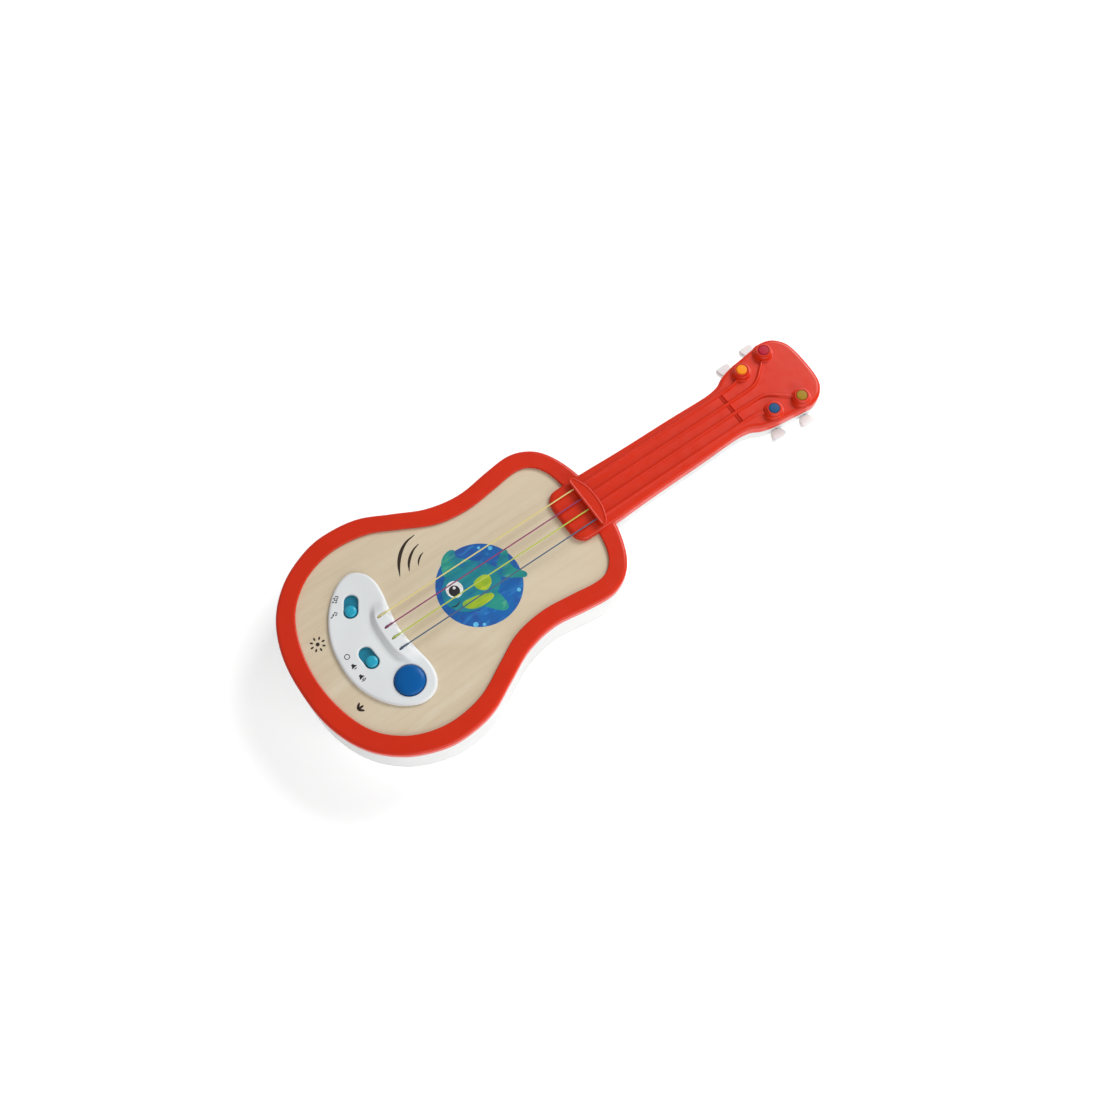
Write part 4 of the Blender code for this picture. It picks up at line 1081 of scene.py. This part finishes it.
def sound_marks():
    """Three tapered arcs beside the picture, and two plain ornaments under the panel."""
    arcs = (
        (((-48.6, -86.2), (-47.4, -93.5), (-43.4, -100.2), (-37.4, -105.6), (-29.7, -109.8)),
         (0.5, 1.5, 2.3, 2.0, 0.4)),
        (((-41.7, -87.4), (-40.4, -92.0), (-37.5, -96.6), (-33.8, -100.2), (-29.2, -102.8)),
         (0.5, 1.2, 1.8, 1.6, 0.4)),
        (((-35.0, -88.3), (-34.0, -91.0), (-32.0, -93.7), (-29.2, -95.8)), (0.4, 1.1, 1.2, 0.35)),
    )
    sun, sprig = (-21.5, -177.6), (29, -180)

    def petal(middle, reach, wide, high, turn, sides):
        angle = math.radians(turn)
        return ellipse(middle[0] + reach * math.cos(angle), middle[1] + reach * math.sin(angle), wide, high,
                       turn, sides)

    outlines = [stroke(points, widths) for points, widths in arcs]
    outlines += [petal(sun, 4.1, 1.15, 0.62, 45 * i, 20) for i in range(8)]
    outlines.append(ellipse(*sun, 1.3, 1.3, sides=24))
    outlines += [petal(sprig, 2.6, 2.3, 0.8, turn, 24) for turn in (50, 90, 130)]

    def build(bm):
        for outline in outlines:
            prism(bm, outline, WOOD_Z, WOOD_Z + PRINT)

    finished(raw("sound_mark_print", build, [DARK_INK]))


DISC_RADIUS = 28.6


def picture():
    """A round picture: a plain fish on a blue disc. Its right is up the neck, its top is towards -X."""
    place = (4.7, -70.8, 90)
    body = ((-25.0, 4.0), (-20.5, 12.5), (-12.0, 18.2), (-1.0, 19.0), (8.5, 14.0), (14.5, 6.0), (18.5, 0.5),
            (14.0, -4.5), (7.5, -10.5), (-2.5, -14.0), (-13.0, -12.5), (-21.5, -6.5))
    top_fin = ((-15.0, 16.0), (-13.5, 24.5), (-7.5, 30.2), (-0.5, 30.0), (-1.5, 24.5), (5.0, 15.0), (-5.0, 12.0))
    tail = ((15.0, 2.0), (20.5, 8.0), (27.5, 10.8), (25.4, 3.0), (25.0, -3.0), (29.5, -12.0), (21.5, -9.0),
            (15.0, -3.0))
    low_fin = ((-5.0, -11.0), (-1.0, -19.5), (6.0, -24.0), (8.0, -17.5), (5.0, -9.0))
    side_fin = ((-3.0, 2.0), (3.5, 4.6), (8.6, 2.0), (7.0, -3.4), (1.0, -5.2))
    belly = ((-16.5, -5.0), (-9.0, -4.4), (-2.0, -6.6), (4.0, -10.6), (-2.5, -12.9), (-12.0, -11.4))
    shapes = ((top_fin, 0.06, 2), (tail, 0.06, 2), (low_fin, 0.06, 2), (body, 0.08, 1), (belly, 0.10, 3),
              (side_fin, 0.10, 3))
    layers = (
        (ellipse(0, 0, DISC_RADIUS, DISC_RADIUS, sides=128), 0.04, 0),
        *((flat(smooth(points, 8, closed=True)), thick, look) for points, thick, look in shapes),
        (ellipse(-15.0, 6.6, 5.6, 5.9), 0.12, 4),
        (ellipse(-15.6, 5.8, 3.6, 3.9), 0.14, 5),
        (ellipse(-14.6, 7.6, 1.0, 1.0), 0.16, 4),
        (stroke(((-23.4, -2.2), (-20.0, -3.4), (-16.6, -2.2)), (0.3, 0.9, 0.3)), 0.12, 5),
    )

    bubbles = ((-17, -21, 1.7), (-12.5, -24, 1.1), (20, 17, 1.5), (14, 21.5, 1.0), (19, -17.5, 1.3))

    def build(bm):
        for outline, thick, look in layers:
            prism(bm, placed(outline, place), WOOD_Z, WOOD_Z + thick, look)
        for x, y, size in bubbles:
            prism(bm, placed(ellipse(x, y, size, size, sides=24), place), WOOD_Z, WOOD_Z + 0.06, 6)

    bubble = ink("bubble_paint", (0.10, 0.42, 0.72))
    looks = [DISC_PAINT, FISH_PAINT, FIN_PAINT, BELLY_PAINT, WHITE_INK, BLACK_INK, bubble]
    finished(raw("picture_print", build, looks))


def note(x, y, size, beamed=True):
    """A music note, or two under one beam, as outlines."""
    parts = []
    heads = ((-1.5, -1.5), (1.5, -1.1)) if beamed else ((-0.4, -1.5),)
    for head_x, head_y in heads:
        parts.append(ellipse(x + head_x * size, y + head_y * size, 0.95 * size, 0.75 * size, 20, 18))
        stem = x + (head_x + 0.66) * size
        low, high = y + head_y * size, y + 1.7 * size
        parts.append([Vector(p) for p in ((stem - 0.26 * size, low), (stem + 0.26 * size, low),
                                          (stem + 0.26 * size, high), (stem - 0.26 * size, high))])
    left, right = (x - 1.1 * size, x + 2.42 * size) if beamed else (x, x + 1.5 * size)
    low, high, drop = y + 1.0 * size, y + 1.9 * size, 0.0 if beamed else 0.7 * size
    parts.append([Vector(p) for p in ((left, low), (right, low - drop), (right, high - drop), (left, high))])
    return parts


def speaker_sign(waves):
    """A loudspeaker sign with one or two sound waves."""
    parts = [[Vector(p) for p in ((-2.3, -0.85), (-1.4, -0.85), (0.2, -2.0), (0.2, 2.0), (-1.4, 0.85),
                                  (-2.3, 0.85))]]
    for i in range(waves):
        reach = 1.2 + i
        turns = [math.radians(a) for a in (-50, -25, 0, 25, 50)]
        points = [(0.1 + reach * math.cos(t), reach * math.sin(t)) for t in turns]
        parts.append(stroke(points, (0.4, 0.55, 0.6, 0.55, 0.4), steps=4))
    return parts


def panel_signs():
    """Printed signs beside the switches: notes, an off ring and two loudspeakers."""
    signs = (
        (note(-0.2, 1.35, 0.6) + note(-0.2, -1.25, 0.6), (-39.6, -152.4, 42)),
        (note(0.3, 1.1, 0.6) + note(-0.8, -1.0, 0.6, beamed=False), (-31.2, -158.9, 42)),
        (speaker_sign(1), (5.3, -166.6, 10)),
        (speaker_sign(2), (13.9, -166.3, 10)),
    )
    parts = [placed(outline, place) for outlines, place in signs for outline in outlines]

    low, high = PANEL_Z - 0.02, PANEL_Z + PRINT

    def build(bm):
        for outline in parts:
            prism(bm, outline, low, high)
        off = ((1.35, low), (1.85, low), (1.85, high), (1.35, high))
        turned(bm, off, (-3.0, -166.8, 0), sides=32, ring=True)

    finished(raw("panel_sign_print", build, [BLACK_INK]))


# ---- stage, light and camera

TARGET = Vector((11.4, -19.6, 37.5)) * MM
AZIMUTH = math.radians(54.76)
ELEVATION = math.radians(69.5)
DISTANCE = 0.8987
FLOOR_HALF = 6.0     # metres
FLOOR_Z = -0.0002    # metres, just clear of the back's flat face


def camera():
    back = Vector((math.sin(AZIMUTH) * math.cos(ELEVATION), -math.cos(AZIMUTH) * math.cos(ELEVATION),
                   math.sin(ELEVATION)))
    data = bpy.data.cameras.new("camera")
    data.lens = 45
    data.sensor_width = 36
    data.clip_start = 0.01
    obj = bpy.data.objects.new("camera", data)
    obj.location = TARGET + back * DISTANCE
    obj.rotation_euler = back.to_track_quat("Z", "Y").to_euler()
    bpy.context.scene.collection.objects.link(obj)
    bpy.context.scene.camera = obj


def area_light(name, place, size, power):
    """A soft box at a place in metres, aimed at the middle of the object."""
    data = bpy.data.lights.new(name, "AREA")
    data.shape = "RECTANGLE"
    data.size, data.size_y = size
    data.energy = power
    obj = bpy.data.objects.new(name, data)
    obj.location = place
    obj.rotation_euler = (Vector(place) - TARGET).to_track_quat("Z", "Y").to_euler()
    bpy.context.scene.collection.objects.link(obj)


def studio():
    """A pale floor, an even white surround, and soft boxes beyond the head and at the right."""
    shader = Shader("floor", (0.96, 0.96, 0.96), 0.7, Emission_Color=(1, 1, 1, 1), Emission_Strength=0.34)
    shader.roughness(shader.span(shader.noise(60), 0.65, 0.75))
    edge = FLOOR_HALF
    corners = ((-edge, -edge), (edge, -edge), (edge, edge), (-edge, edge))
    mesh = bpy.data.meshes.new("floor")
    mesh.from_pydata([(x, y, FLOOR_Z) for x, y in corners], [], [(0, 1, 2, 3)])
    mesh.materials.append(shader.material)
    floor = bpy.data.objects.new("floor", mesh)
    bpy.context.scene.collection.objects.link(floor)

    world = bpy.data.worlds.new("surround")
    world.use_nodes = True
    background = world.node_tree.nodes["Background"]
    background.inputs["Color"].default_value = (1, 1, 1, 1)
    background.inputs["Strength"].default_value = 0.37
    bpy.context.scene.world = world
    area_light("key", (-0.35, 1.25, 1.00), (0.9, 0.6), 19)
    area_light("side", (1.15, -0.15, 0.60), (1.4, 0.8), 9)
    bpy.context.scene.view_settings.view_transform = "Standard"


dress_cad_nodes()
front_moulding()
back_moulding()
guard()
strings()
panel()
slider("mode", MODE_SLOT)
slider("volume", VOLUME_SLOT)
button()
button_spring()
caps()
tuning_pegs()
housing_screws()
door()
cells()
sound_marks()
picture()
panel_signs()
camera()
studio()
